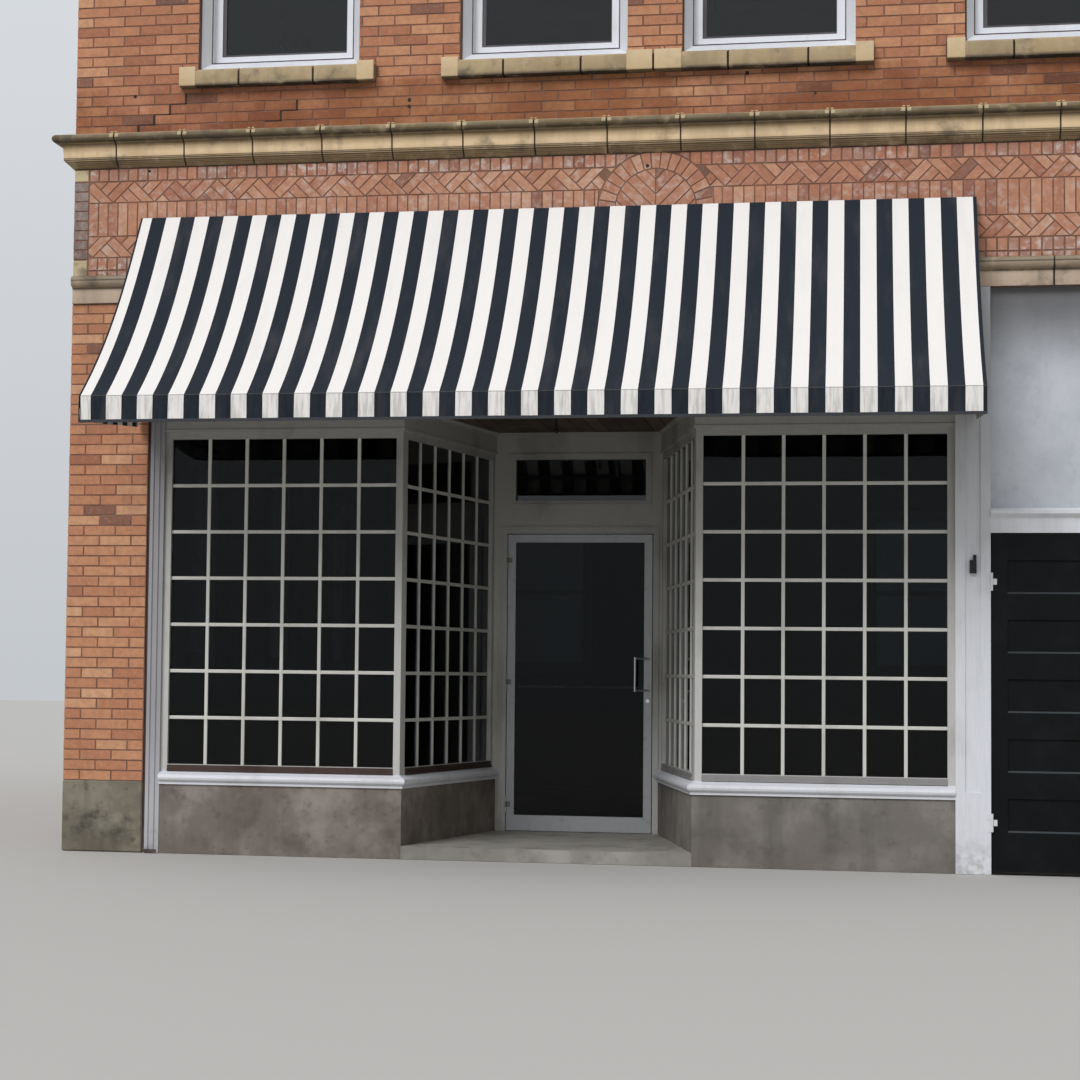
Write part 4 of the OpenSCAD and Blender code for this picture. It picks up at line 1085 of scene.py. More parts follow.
@dataclass
class Frieze:
    """The band of patterned brick between the lower moulding and the string cornice."""

    left: float = -HALF_W
    right: float = HALF_W
    foot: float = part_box("lower_moulding")[1].z
    top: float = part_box("string_cornice")[0].z
    head_row: float = 0.087
    foot_row: float = 0.085
    fillet_row: float = 0.041
    zigzag: float = 0.139
    quoin: float = 0.097
    stone_head: float = 0.085
    stone_foot: float = 0.115
    arch_centre: Point = (0.033, 4.091)
    arch_inner: float = 0.256
    arch_outer: float = 0.365
    voussoirs: int = 17
    pitch: float = 0.0665
    brick_share: float = 0.63
    small: float = 4 * MM
    least_area: float = 0.0009

    def zigzags(self, u0: float, u1: float, z0: float, valley: float, half: float,
                lean: int) -> list[list[Point]]:
        """One band of bricks laid at 45 degrees, up and down in turn.

        Args:
            u0: Left end.
            u1: Right end.
            z0: Foot of the band.
            valley: Where one of its valleys lies.
            half: Distance from a valley to the next peak.
            lean: 1 where the bricks over a valley fall to the right, -1 where they rise.

        Returns:
            Outlines, counter-clockwise from outside.
        """
        thick = self.brick_share
        mid = 1 + thick / 2
        tooth = [[(0, 0), (thick, 0), (mid, mid - thick), (1, 1)],
                 [(thick, 0), (2 * thick, 0), (1 + thick, 1 - thick), (mid, mid - thick)],
                 [(2 * thick, 0), (2, 0), (1 + thick, 1 - thick)]]
        shapes = []
        for i in range(math.floor((u0 - valley) / (2 * half)) - 1, math.ceil((u1 - valley) / (2 * half)) + 1):
            for part in tooth:
                # A tooth under a peak, and the same turned over top to bottom above the valley beside it
                for outline in (part, [(x - 1, 1 - z) for x, z in reversed(part)]):
                    points = [(valley + half * (2 * i + lean * x), z0 + self.zigzag * z) for x, z in outline]
                    shapes.append(points if lean > 0 else points[::-1])
        return [cut for cut in (self.trim(shape, u0, u1) for shape in shapes) if cut]

    @staticmethod
    def half_plane(shape: Sequence[Point], a: float, b: float, c: float) -> list[Point]:
        """The part of an outline where a*u + b*z >= c.

        Args:
            shape: The outline.
            a: Share of u.
            b: Share of z.
            c: The least that the sum may be.

        Returns:
            The outline that is left, which may be empty.
        """
        kept = []
        for (u0, z0), (u1, z1) in zip(shape, list(shape[1:]) + [shape[0]]):
            d0, d1 = a * u0 + b * z0 - c, a * u1 + b * z1 - c
            if d0 >= 0:
                kept.append((u0, z0))
            if d0 * d1 < 0:
                t = d0 / (d0 - d1)
                kept.append((u0 + t * (u1 - u0), z0 + t * (z1 - z0)))
        return kept

    def trim(self, shape: Sequence[Point], u0: float, u1: float) -> list[Point]:
        """An outline cut off at both ends of the band.

        Args:
            shape: The outline.
            u0: Left end of the band.
            u1: Right end of the band.

        Returns:
            The outline that is left, or nothing where it is a sliver.
        """
        shape = self.half_plane(shape, 1, 0, u0)
        shape = self.half_plane(shape, -1, 0, -u1) if len(shape) > 2 else []
        return self.kept(shape)

    def kept(self, shape: Sequence[Point]) -> list[Point]:
        """An outline without doubled points.

        Args:
            shape: The outline.

        Returns:
            Its clean outline, or nothing where it is too small to be a brick.
        """
        clean = []
        for point in shape:
            if not clean or math.dist(point, clean[-1]) > self.small:
                clean.append(point)
        if len(clean) > 1 and math.dist(clean[0], clean[-1]) < self.small:
            clean.pop()
        area = 0.5 * abs(sum(p[0] * q[1] - q[0] * p[1] for p, q in zip(clean, clean[1:] + clean[:1])))
        return clean if len(clean) > 2 and area > self.least_area else []

    def outside_arch(self, shapes: Iterable[Rect | Sequence[Point]]) -> list[list[Point]]:
        """Outlines cut back to the tangent of the half-round where they meet it.

        Args:
            shapes: Rectangles or outlines.

        Returns:
            The outlines that are left.
        """
        found = []
        cx, cz = self.arch_centre
        for shape in map(outline_of, shapes):
            near = min(math.dist(p, self.arch_centre) for p in shape)
            u, z = (sum(p[i] for p in shape) / len(shape) for i in (0, 1))
            far = math.dist((u, z), self.arch_centre)
            if near >= self.arch_outer or z < cz - 0.25:
                found.append(shape)
            elif far >= self.arch_outer - 0.02:
                nu, nz = (u - cx) / far, (z - cz) / far
                found.append(self.kept(self.half_plane(shape, nu, nz, nu * cx + nz * cz + self.arch_outer)))
        return [shape for shape in found if shape]

    def arch(self) -> list[list[Point]]:
        """The ring of voussoirs, and inside it the bricks slanting down to both sides of a middle joint.

        Returns:
            Their outlines.
        """
        cx, cz = self.arch_centre
        inner, outer, count, parts = self.arch_inner, self.arch_outer, self.voussoirs, 16
        shapes = []
        for i in range(count):
            a, b = math.pi * i / count, math.pi * (i + 1) / count
            shapes.append([(cx + r * math.cos(t), cz + r * math.sin(t))
                           for r, t in ((inner, a), (outer, a), (outer, b), (inner, b))])
        disc = [(cx + inner * math.cos(math.pi * i / parts), cz + inner * math.sin(math.pi * i / parts))
                for i in range(parts + 1)]
        lane = self.pitch * math.sqrt(2)
        for side in (-1, 1):
            half = self.half_plane(disc, side, 0, side * cx)
            for i in range(-6, 7):
                # Lanes run at 45 degrees, up and outwards from the middle joint
                strip = self.half_plane(half, -side, 1, -side * cx + cz + i * lane)
                strip = self.half_plane(strip, side, -1, side * cx - cz - (i + 1) * lane) if strip else []
                shapes.append(self.kept(strip))
        return [shape for shape in shapes if shape]

    def shapes(self, work: Brickwork) -> tuple[list, list]:
        """The clean bricks and the limed bricks of the band.

        Args:
            work: Gives the rows their pitch.

        Returns:
            Outlines of ordinary brick, and of the limed rows at its top and foot.
        """
        u0, middle = self.left + self.quoin, self.arch_centre[0]
        head = self.top - self.head_row
        foot = self.foot + self.fillet_row + self.foot_row
        clean = []
        # The pattern is turned over at the half-round, where its bricks come a little closer too
        for ends, half, lean, valleys in (((u0, middle), 0.1405, -1, (-3.516, -3.652)),
                                          ((middle, self.right), 0.1358, 1, (1.824, 2.279))):
            for z0, valley in zip((head - self.zigzag, foot), valleys):
                clean += self.zigzags(*ends, z0, valley, half, lean)
        clean += work.row(u0, self.right, foot + self.zigzag, head - self.zigzag, self.pitch)
        limed = []
        fillet = self.foot + self.fillet_row
        for low, high in ((head, self.top), (fillet, foot), (self.foot, fillet)):
            limed += work.row(u0, self.right, low, high, self.pitch)
        return self.outside_arch(clean) + self.arch(), self.outside_arch(limed)


@dataclass
class Facades:
    """All the brickwork of the building."""

    shell: Shell = field(default_factory=Shell)
    reveal: float = 0.012
    corner: float = 4 * MM

    def __post_init__(self) -> None:
        """Reads the levels from the CAD and sets the openings."""
        self.cornice_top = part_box("string_cornice")[1].z
        self.pier_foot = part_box("pier_bases")[1].z
        self.pier_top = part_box("lower_moulding")[0].z
        self.front = Openings((-2.418, -0.686, 0.730, 2.462), (UPPER_SILL,))
        self.left = Openings((-2.25, 0.0, 2.25), (GROUND_SILL, UPPER_SILL))
        self.rear = Openings((-1.89, 1.89), (GROUND_SILL, UPPER_SILL))

    def build(self) -> None:
        """Lays every wall and gives the wall cores their mortar and plaster."""
        for node in ("left_pier", "right_pier", "frieze_wall", "upper_front_wall", "left_side_wall",
                     "party_wall", "rear_wall"):
            dress(node, CORE)
        self.front_wall()
        self.side("left_brickwork", Side.LEFT, self.shell.half_d, self.left)
        self.side("rear_brickwork", Side.REAR, self.shell.half_w, self.rear)
        self.side("party_brickwork", Side.RIGHT, self.shell.half_d, Openings((), ()))

    def to_corners(self, rows: Iterable[Rect]) -> list[Rect]:
        """Bricks of the front, of which those at its ends cover the bricks of the side walls.

        Args:
            rows: Rectangles that stop at the corners of the building.

        Returns:
            The rectangles, longer at the corners.
        """
        half, more = self.shell.half_w, self.corner + 4 * MM
        return [(a - more * (a < MM - half), b + more * (b > half - MM), c, d) for a, b, c, d in rows]

    def front_wall(self) -> None:
        """Piers, frieze and upper wall of the street front."""
        face = self.shell.face(Side.FRONT)
        half = self.shell.half_w
        work = Brickwork()
        for node in ("left_pier", "right_pier"):
            low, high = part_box(node)
            work.lay(self.to_corners(work.bond(low.x, high.x, self.pier_foot, self.pier_top)), face)
        rows = work.bond(-half, half, self.cornice_top, self.shell.top, work.unit / 2)
        work.lay(self.to_corners(clip(rows, self.front.holes(work.joint), work.least)), face)
        for opening in self.front.clear():
            work.jambs(opening, self.reveal, face)
        frieze = Frieze()
        clean, limed = frieze.shapes(work)
        make_piece("front_brickwork", work.bm, FRONT_BRICK)
        band = Brickwork(joint=6 * MM, dice=random.Random(19))
        band.lay(clean, face)
        make_piece("frieze_brickwork", band.bm, FRIEZE_BRICK)
        rough = Brickwork(joint=9 * MM)
        rough.lay(limed, face)
        make_piece("limed_brickwork", rough.bm, LIMED_BRICK)
        self.quoin(frieze, face)

    def quoin(self, frieze: Frieze, face: Matrix) -> None:
        """The corner of the frieze: buff stone at its head and foot, grey headers stacked between.

        Args:
            frieze: The band that it ends.
            face: The frame of the front.
        """
        x0, x1 = frieze.left - 2 * self.corner, frieze.left + frieze.quoin
        stones = Brickwork(proud=6 * MM, arris=4 * MM)
        low, high = frieze.foot + frieze.stone_foot, frieze.top - frieze.stone_head
        stones.lay([(x0, x1, high, frieze.top), (x0, x1, frieze.foot, low)], face)
        make_piece("quoin_stones", stones.bm, BUFF_STONE)
        headers = Brickwork()
        count = 8
        step = (high - low) / count
        headers.lay([(x0, x1, low + i * step, low + (i + 1) * step) for i in range(count)], face)
        make_piece("quoin_headers", headers.bm, QUOIN_BRICK)

    def side(self, name: str, side: Side, half: float, openings: Openings) -> None:
        """One of the plain walls.

        Args:
            name: Name of its brickwork.
            side: Where it stands.
            half: Half its length.
            openings: Its windows.
        """
        face = self.shell.face(side)
        work = Brickwork(dice=random.Random(side.value + 400))
        rows = clip(work.bond(-half, half, 0.0, self.shell.top), openings.holes(work.joint), work.least)
        work.lay(rows, face)
        for opening in openings.clear():
            work.jambs(opening, self.reveal, face)
        make_piece(name, work.bm, SIDE_BRICK)


@dataclass
class StoneBand:
    """A CAD stone cut into the blocks it is built of, with recessed mortar in its joints."""

    node: str
    finish: Finish
    joints: tuple[float, ...] = ()
    side_joints: tuple[float, ...] = ()
    gap: float = 9 * MM
    jitter: float = 1.5 * MM
    arris: float = 3 * MM
    sink: float = 0.93
    nib: float = 0.0

    def build(self) -> None:
        """Cuts the blocks along the front and along the side return, and fills the joints."""
        dice = random.Random(len(self.node) + 11)
        source = copy_of(self.node)
        low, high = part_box(self.node)
        shell = Shell()
        front = shell.wall_back
        blocks = bmesh.new()
        fill = bmesh.new()
        runs = [(Axis.X, Axis.Y, sorted(self.joints), low.x, high.x, (low.y - 1, front))]
        if self.side_joints:
            runs.append((Axis.Y, Axis.X, sorted(self.side_joints), front, high.y, (front, high.y + 1)))
        for axis, across, cuts, first, last, stretch in runs:
            base = keep_between(source, Axis.Y, *stretch) if self.side_joints else source
            places = [first - 1] + list(cuts) + [last + 1]
            for a, b in zip(places, places[1:]):
                part = keep_between(base, axis, a + (self.gap / 2 if a in cuts else 0),
                                    b - (self.gap / 2 if b in cuts else 0))
                if part is None:
                    continue
                self.mark_ends(part, axis, a if a in cuts else None, b if b in cuts else None)
                soften(part, self.arris)
                slip = Vector((0, 0, 0))
                slip[across] = dice.uniform(0.0, self.jitter)
                slip.z = -dice.uniform(0.0, self.jitter) * 0.6
                part.transform(Matrix.Translation(slip))
                join(blocks, part)
            for place in cuts:
                slab = keep_between(base, axis, place - self.gap / 2 - MM, place + self.gap / 2 + MM)
                if slab is None:
                    continue
                wall = -shell.half_d if axis is Axis.X else -shell.half_w
                middle = (low.z + high.z) / 2
                for vert in slab.verts:
                    out = vert.co[across]
                    vert.co[across] = wall + (out - wall) * self.sink if out < wall else out
                    vert.co.z = middle + (vert.co.z - middle) * self.sink
                join(fill, slab)
            if base is not source:
                base.free()
        source.free()
        make_piece(self.node + "_blocks", blocks, self.finish, replaces=[self.node])
        if fill.faces:
            make_piece(self.node + "_mortar", fill, GAP)
        else:
            fill.free()

    def mark_ends(self, part: BMesh, axis: Axis, low: float | None, high: float | None) -> None:
        """Marks pale worn ends of a block, where the roll was chipped and patched.

        Args:
            part: The block.
            axis: The axis that it runs along.
            low: The joint at its lower end, if any.
            high: The joint at its upper end, if any.
        """
        layer = part.faces.layers.float.new("nib")
        if not self.nib:
            return
        for place, sign in ((low, 1), (high, -1)):
            if place is None:
                continue
            cut_across(part, axis, place + sign * self.nib)
            top = max(vert.co.z for vert in part.verts)
            for face in part.faces:
                centre = face.calc_center_median()
                if abs(centre[axis] - place) < self.nib and centre.z > top - 1.2 * self.nib:
                    face[layer] = 1.0


class Leg(IntEnum):
    """The two lengths of a splayed display window."""

    FRONT = 0
    SPLAY = 1


@dataclass
class Bay:
    """One splayed display window in plan, along the face of its bulkhead."""

    mirrored: bool
    shop_x: float = -0.636
    half_w: float = 2.5
    recess_half: float = 0.912
    recess_back: float = 0.567
    depth: float = 1.6
    brick: float = STREET_FACE

    def leg(self, leg: Leg) -> Matrix:
        """The frame of a length of the bay.

        Args:
            leg: Which length.

        Returns:
            A frame with X along the length, Y into the display and Z up.
        """
        corners = [Vector(p) for p in ((-self.half_w, 0), (-self.recess_half, 0),
                                       (-self.recess_back, self.depth))]
        start, end = corners[leg], corners[leg + 1]
        along = (end - start).normalized()
        turned = Matrix(((along.x, -along.y, 0, start.x), (along.y, along.x, 0, start.y),
                         (0, 0, 1, 0), (0, 0, 0, 1)))
        return Matrix.Translation((self.shop_x, self.brick, 0)) @ turned

    def finish(self, bm: BMesh) -> BMesh:
        """Turns a mesh over to this side of the recess.

        Args:
            bm: The mesh, made at the left.

        Returns:
            The same mesh.
        """
        if self.mirrored:
            there, back = (Matrix.Translation((x, 0, 0)) for x in (self.shop_x, -self.shop_x))
            bm.transform(there @ Matrix.Diagonal((-1, 1, 1, 1)) @ back)
            bmesh.ops.reverse_faces(bm, faces=bm.faces)
        return bm


@dataclass
class SillEars:
    """Clean square ends of the front sills, which stand a little out of the streaked slope between them."""

    proud: float = 3 * MM
    rise: float = 2 * MM
    joint: float = 12 * MM

    def build(self) -> None:
        """Caps both ends of each sill, and the stretch of the shared sill between its two windows."""
        low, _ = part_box("front_sills")
        openings = Facades().front
        half, ear = openings.width / 2, openings.ear
        first, second, third, fourth = openings.centres
        middle = (second + third) / 2 - 4 * MM
        spans = [(c + s * half, c + s * (half + ear)) for c in (first, fourth) for s in (-1, 1)]
        spans += [(second - half, second - half - ear), (third + half, third + half + ear),
                  (second + half, middle - self.joint / 2), (middle + self.joint / 2, third - half)]
        bm = bmesh.new()
        for span in spans:
            a, b = sorted(span)
            add_box(bm, (a, low.y - self.proud, low.z - self.rise / 2),
                    (b, -Shell().half_d - MM, openings.sills[0] + self.rise))
        soften(bm, 3 * MM)
        make_piece("sill_ears", bm, EAR_STONE)


@dataclass
class WindowLines:
    """Painted shade at the front windows: dark strips in the gaps at the brick and at the sash, a dark ring
    round the pane.
    """

    half: float = Openings.width / 2
    height: float = Openings.height
    frame_w: float = 66 * MM
    sash_w: float = 50 * MM
    frame_face: float = 100 * MM
    pane_face: float = 165 * MM
    gap: float = 11 * MM
    seam: float = 7 * MM
    # Widths of the painted shade ring round the pane: left, right, foot and head
    sash_shade: tuple[float, float, float, float] = (26 * MM, 5 * MM, 14 * MM, 18 * MM)

    def build(self) -> None:
        """Makes the painted shadow strips and the painted shade ring of every window."""
        gaps, frames = bmesh.new(), bmesh.new()
        shell = Shell()
        openings = Facades(shell).front
        for centre in openings.centres:
            place = Matrix.Translation((centre, -shell.half_d, openings.sills[0]))
            # Painted shadow in the gap between the brick and the left casing
            add_box(gaps, (-self.half + MM, 9 * MM, 2 * MM),
                    (self.gap - self.half, 33 * MM, self.height - 2 * MM), place)
            x, z0, z1 = self.half - self.frame_w, self.frame_w, self.height - self.frame_w
            y0, y1, foot = self.frame_face - 0.8 * MM, self.frame_face + 0.5 * MM, z0 - self.seam
            # Painted shadow in the gaps round the sash, at its sides and foot
            for left, right, top in ((-x - self.seam, -x, z1), (x, x + self.seam, z1), (-x, x, z0)):
                add_box(gaps, (left, y0, foot), (right, y1, top), place)
            # Painted shade on the sash's inner side round its pane
            self.ring(frames, place, z0 + self.sash_w, self.pane_face)
        make_piece("painted_window_shadows", gaps, BROWN)
        make_piece("painted_sash_shade_frames", frames, PAINTED_SASH_SHADE)

    def ring(self, bm: BMesh, place: Matrix, foot: float, back: float) -> None:
        """A dark ring round the pane of the lower sash: painted shade on the sash's inner side, widest at the
        left.

        Args:
            bm: The mesh it joins.
            place: The frame of the window.
            foot: Foot of the sash's pane.
            back: Depth of the pane's outer face.
        """
        left, right, low, high = self.sash_shade
        x = self.half - self.frame_w - self.sash_w
        top = foot + (self.height - 2 * self.frame_w + self.sash_w) / 2 - 2 * self.sash_w
        y0, y1 = back - 9 * MM, back + 0.2 * MM
        for box in (((-x, y0, foot), (left - x, y1, top)), ((x - right, y0, foot), (x, y1, top)),
                    ((left - x, y0 + MM, foot), (x - right, y1, foot + low)),
                    ((left - x, y0 + MM, top - high), (x - right, y1, top))):
            add_box(bm, *box, place)


@dataclass
class DisplayBars:
    """The small-pane bars of the display windows, moulded: a flat fillet with both arrises off."""

    columns: int = 6
    rows: int = 7
    width: float = 22 * MM
    front: float = 36 * MM
    back: float = 62 * MM
    foot: float = 0.570
    top: float = 2.666
    # Where glass starts and ends along the front and along the splay
    spans: tuple[Point, Point] = ((0.045, 1.528), (0.098, 1.591))

    def build(self) -> None:
        """Makes the bars of both bays."""
        for bay, name in ((Bay(False), "left"), (Bay(True), "right")):
            bm = bmesh.new()
            for leg, (start, end) in zip(Leg, self.spans):
                matrix = bay.leg(leg)
                for i in range(1, self.columns):
                    x = start + (end - start) * i / self.columns
                    add_box(bm, (x - self.width / 2, self.front, self.foot - 2 * MM),
                            (x + self.width / 2, self.back, self.top + 2 * MM), matrix)
                for i in range(1, self.rows):
                    z = self.foot + (self.top - self.foot) * i / self.rows
                    add_box(bm, (start - 2 * MM, self.front + 1.5 * MM, z - self.width / 2),
                            (end + 2 * MM, self.back - 1.5 * MM, z + self.width / 2), matrix)
            soften(bm, 3.5 * MM, 2)
            make_piece(f"{name}_display_bars", bay.finish(bm), BARS)


@dataclass
class DisplayTrim:
    """The strips at the foot of the display glass, in two steps: brown at the left and grey at the right."""

    foot: float = 0.5255
    top: float = 0.566
    step: float = 14 * MM
    front: float = 20 * MM
    back: float = 22 * MM
    proud: float = 5 * MM

    def build(self) -> None:
        """Makes the strips of both bays, along the front and the splay."""
        for name, bay, finish in (("left_foot_strips", Bay(False), BROWN),
                                  ("right_foot_strips", Bay(True), GREY_TRIM)):
            part = bmesh.new()
            for leg, (start, end) in zip(Leg, DisplayBars.spans):
                matrix = bay.leg(leg)
                for proud, top in ((self.proud, self.top), (2.2 * self.proud, self.foot + self.step)):
                    add_box(part, (start, self.front - proud, self.foot), (end, self.back, top), matrix)
            bm = bay.finish(part)
            soften(bm, 1.5 * MM)
            make_piece(name, bm, finish)


@dataclass
class PilasterStop:
    """The dark stop between the brick pier and the left pilaster, and the dark cap at the pilaster's foot."""

    gap: float = 24 * MM
    back: float = 12 * MM
    thick: float = 3 * MM
    foot_w: float = 87 * MM
    foot_h: float = 26 * MM

    def build(self) -> None:
        """Lays a thin dark board over the stop from the ground to the moulding."""
        low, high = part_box("left_pier")
        front = low.y + self.back
        bm = bmesh.new()
        stop = high.x + self.gap
        add_box(bm, (high.x + 0.5 * MM, front - self.thick, 2 * MM),
                (stop - 0.5 * MM, front + MM, high.z - 2 * MM))
        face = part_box("shopfront_pilasters")[0].y
        add_box(bm, (stop, face - self.thick, 2 * MM), (stop + self.foot_w, face + MM, self.foot_h))
        soften(bm, 1 * MM)
        make_piece("pilaster_stop", bm, BROWN)


@dataclass
class Awning:
    """The striped cloth over its bent rafters, its valance and its two wings."""

    left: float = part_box("awning_cloth")[0].x
    right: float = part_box("awning_cloth")[1].x
    wall: float = STREET_FACE
    standoff: float = 32 * MM
    reach: float = 1.128
    drop: float = 1.300
    top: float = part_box("awning_cloth")[1].z
    bend: float = 0.25
    valance: float = 0.153
    wing_rise: float = 0.088
    thick: float = 2 * MM
    columns: int = 114
    slope_rows: int = 26
    valance_rows: int = 6
    rafters: int = 7
    sag: float = 11 * MM
    stripe: float = 0.0965

    @property
    def width(self) -> float:
        """Width of the cloth along the front."""
        return self.right - self.left

    def place(self, share: float, y: float, z: float) -> Vector:
        """A point at a share of the cloth's width, from its left end."""
        return Vector((self.left + share * self.width, y, z))

    def point(self, q: float) -> Point:
        """Y and Z of the cloth's outer face at a share of its fall, from wall to eave."""
        out = (1 - self.bend) * q + self.bend * q ** 3
        return self.wall - self.standoff - self.reach * out, self.top - self.drop * q

    def normal(self, q: float) -> Point:
        """The outward normal of the slope.

        Args:
            q: Share of its fall, from wall to eave.

        Returns:
            Its Y and Z.
        """
        dy = -self.reach * ((1 - self.bend) + 3 * self.bend * q * q)
        size = math.hypot(dy, self.drop)
        return -self.drop / size, -dy / size

    def slope_length(self) -> float:
        """Length of the cloth from the wall to the eave."""
        points = [self.point(i / 200) for i in range(201)]
        return sum(math.dist(a, b) for a, b in zip(points, points[1:]))

    def dip(self, share: float, q: float) -> float:
        """How far the cloth sags between two rafters."""
        between = math.sin(math.pi * ((share * (self.rafters - 1)) % 1.0)) ** 2
        return self.sag * between * math.sin(math.pi * min(1.0, q)) ** 0.7 if 0 < q < 1 else 0.0

    def wave(self, share: float, down: float) -> float:
        """How far the valance swings out of its plane, more at its foot.

        Args:
            share: Share of the cloth's width, from its left end.
            down: Share of the valance's height, from its top.

        Returns:
            The swing along Y.
        """
        x = share * self.width
        swing = 4.0 * math.sin(7.1 * x + 0.6) + 2.6 * math.sin(16.3 * x + 1.1) + 1.4 * math.sin(41 * x)
        return down * swing * MM

    def build(self) -> None:
        """Makes the cloth, the wings and the binding."""
        dress("awning_frame", TUBE)
        cloth = self.cloth()
        binding = self.binding()
        wings = [self.wing(self.left + 1 * MM, "left_wing"), self.wing(self.right - 1 * MM, "right_wing")]
        for wing in wings:
            self.wing_area()

    def sheet_piece(self, name: str, grid: list[list[Vector]], uvs: list[list[Point]], push: Vector | None,
                    replaces: Sequence[str] = ()) -> bpy.types.Object:
        """A closed thin sheet through a grid of points.

        Args:
            name: Name of the piece.
            grid: Rows of points on its outer face.
            uvs: Rows of map points for the stripes.
            push: Direction of its thickness, or None for along its own normals.
            replaces: CAD nodes that it stands for.

        Returns:
            The piece.
        """
        bm = bmesh.new()
        layer = bm.loops.layers.uv.new("cloth")
        verts = [[bm.verts.new(p) for p in row] for row in grid]
        mapped = {v: uv for row, uv_row in zip(verts, uvs) for v, uv in zip(row, uv_row)}
        for low, high in zip(verts, verts[1:]):
            for a, b, c, d in zip(low, low[1:], high[1:], high):
                corners = [v for i, v in enumerate((d, c, b, a)) if v not in (d, c, b, a)[:i]]
                if len({tuple(v.co) for v in corners}) < 3:
                    continue
                face = bm.faces.new(corners)
                for loop in face.loops:
                    loop[layer].uv = mapped[loop.vert]
        bm.normal_update()
        fronts = bm.faces[:]
        rim = [e for e in bm.edges if e.is_boundary]
        offsets = {v: (push or -v.normal) * self.thick for v in bm.verts}
        made = bmesh.ops.duplicate(bm, geom=bm.verts[:] + bm.edges[:] + fronts)
        twin = {old: new for old, new in made["vert_map"].items() if isinstance(old, bmesh.types.BMVert)}
        backs = [g for g in made["geom"] if isinstance(g, bmesh.types.BMFace)]
        for old, offset in offsets.items():
            twin[old].co = old.co + offset
        bmesh.ops.reverse_faces(bm, faces=backs)
        for edge in rim:
            loop = edge.link_loops[0]
            a, b = loop.vert, loop.link_loop_next.vert
            face = bm.faces.new((b, a, twin[a], twin[b]))
            for side in face.loops:
                near = side.vert if side.vert in mapped else (a if side.vert == twin[a] else b)
                side[layer].uv = mapped[near]
        return make_piece(name, bm, CANVAS, replaces=replaces, smooth=50)

    def cloth(self) -> bpy.types.Object:
        """The roof of the awning and its valance in one length of canvas.

        Returns:
            The piece.
        """
        grid, uvs = [], []
        length = self.slope_length()
        total = length + self.valance
        shares = [i / self.columns for i in range(self.columns + 1)]
        for q in (i / self.slope_rows for i in range(self.slope_rows + 1)):
            (y, z), (ny, nz) = self.point(q), self.normal(q)
            dips = [self.dip(share, q) for share in shares]
            grid.append([self.place(share, y - ny * dip, z - nz * dip) for share, dip in zip(shares, dips)])
            uvs.append([(share, 1 - q * length / total) for share in shares])
        y, z = self.point(1.0)
        for k in range(1, self.valance_rows + 1):
            down = k / self.valance_rows
            grid.append([self.place(share, y + self.wave(share, down), z - down * self.valance)
                         for share in shares])
            uvs.append([(share, (1 - down) * self.valance / total) for share in shares])
        return self.sheet_piece("awning_canvas", grid, uvs, None, ["awning_cloth", "awning_wings"])

    def binding(self) -> bpy.types.Object:
        """The dark tape sewn over the foot of the valance and up both gables.

        Returns:
            The piece.
        """
        bm = bmesh.new()
        y, z = self.point(1.0)
        foot = [self.place(share, y + self.wave(share, 1.0) + self.thick / 2, z - self.valance)
                for share in (i / self.columns for i in range(self.columns + 1))]
        lines = [(foot, Vector((0, 1, 0)), Vector((0, 0, 1)), 2.6 * MM, 9 * MM)]
        for x in (self.left + 1.3 * MM, self.right - 1.3 * MM):
            side = []
            for i in range(self.slope_rows + 1):
                q = i / self.slope_rows
                (py, pz), (ny, nz) = self.point(q), self.normal(q)
                side.append(Vector((x, py - ny * 3 * MM, pz - nz * 3 * MM)))
            side.append(Vector((x, y, z - self.valance)))
            lines.append((side, Vector((1, 0, 0)), None, 1.3 * MM, 5 * MM))
        for points, wide, up, half_w, half_h in lines:
            rings = []
            for i, p in enumerate(points):
                along = (points[min(i + 1, len(points) - 1)] - points[max(i - 1, 0)]).normalized()
                across = up or along.cross(wide).normalized()
                rings.append([bm.verts.new(p + wide * half_w * a + across * half_h * b)
                              for a, b in ((-1, -1), (1, -1), (1, 1), (-1, 1))])
            for r, s in zip(rings, rings[1:]):
                for i in range(4):
                    bm.faces.new((r[i], r[(i + 1) % 4], s[(i + 1) % 4], s[i]))
            bm.faces.new(rings[0][::-1])
            bm.faces.new(rings[-1])
        bmesh.ops.recalc_face_normals(bm, faces=bm.faces)
        return make_piece("awning_binding", bm, BINDING)

    def wing_outline(self) -> tuple[list[Vector], list[Vector]]:
        """The outline of a wing at X = 0.

        Returns:
            Its upper and its lower line, from the wall to the eave.
        """
        rows = [i / self.slope_rows for i in range(self.slope_rows + 1)]
        upper = [Vector((0, *self.point(q))) for q in rows]
        for p, q in zip(upper, rows):
            ny, nz = self.normal(q)
            p.y -= ny * 4 * MM
            p.z -= nz * 4 * MM
        wall_y, eave_y = upper[0].y, upper[-1].y
        foot_z = self.top - self.drop - self.valance
        lower = []
        for p in upper:
            share = (p.y - wall_y) / (eave_y - wall_y)
            lower.append(Vector((0, p.y, foot_z + self.wing_rise * (1 - share))))
        return upper, lower

    def wing_area(self) -> float:
        """Flat area of a wing."""
        upper, lower = self.wing_outline()
        return sum((a.z - c.z + b.z - d.z) / 2 * abs(b.y - a.y)
                   for a, b, c, d in zip(upper, upper[1:], lower, lower[1:]))

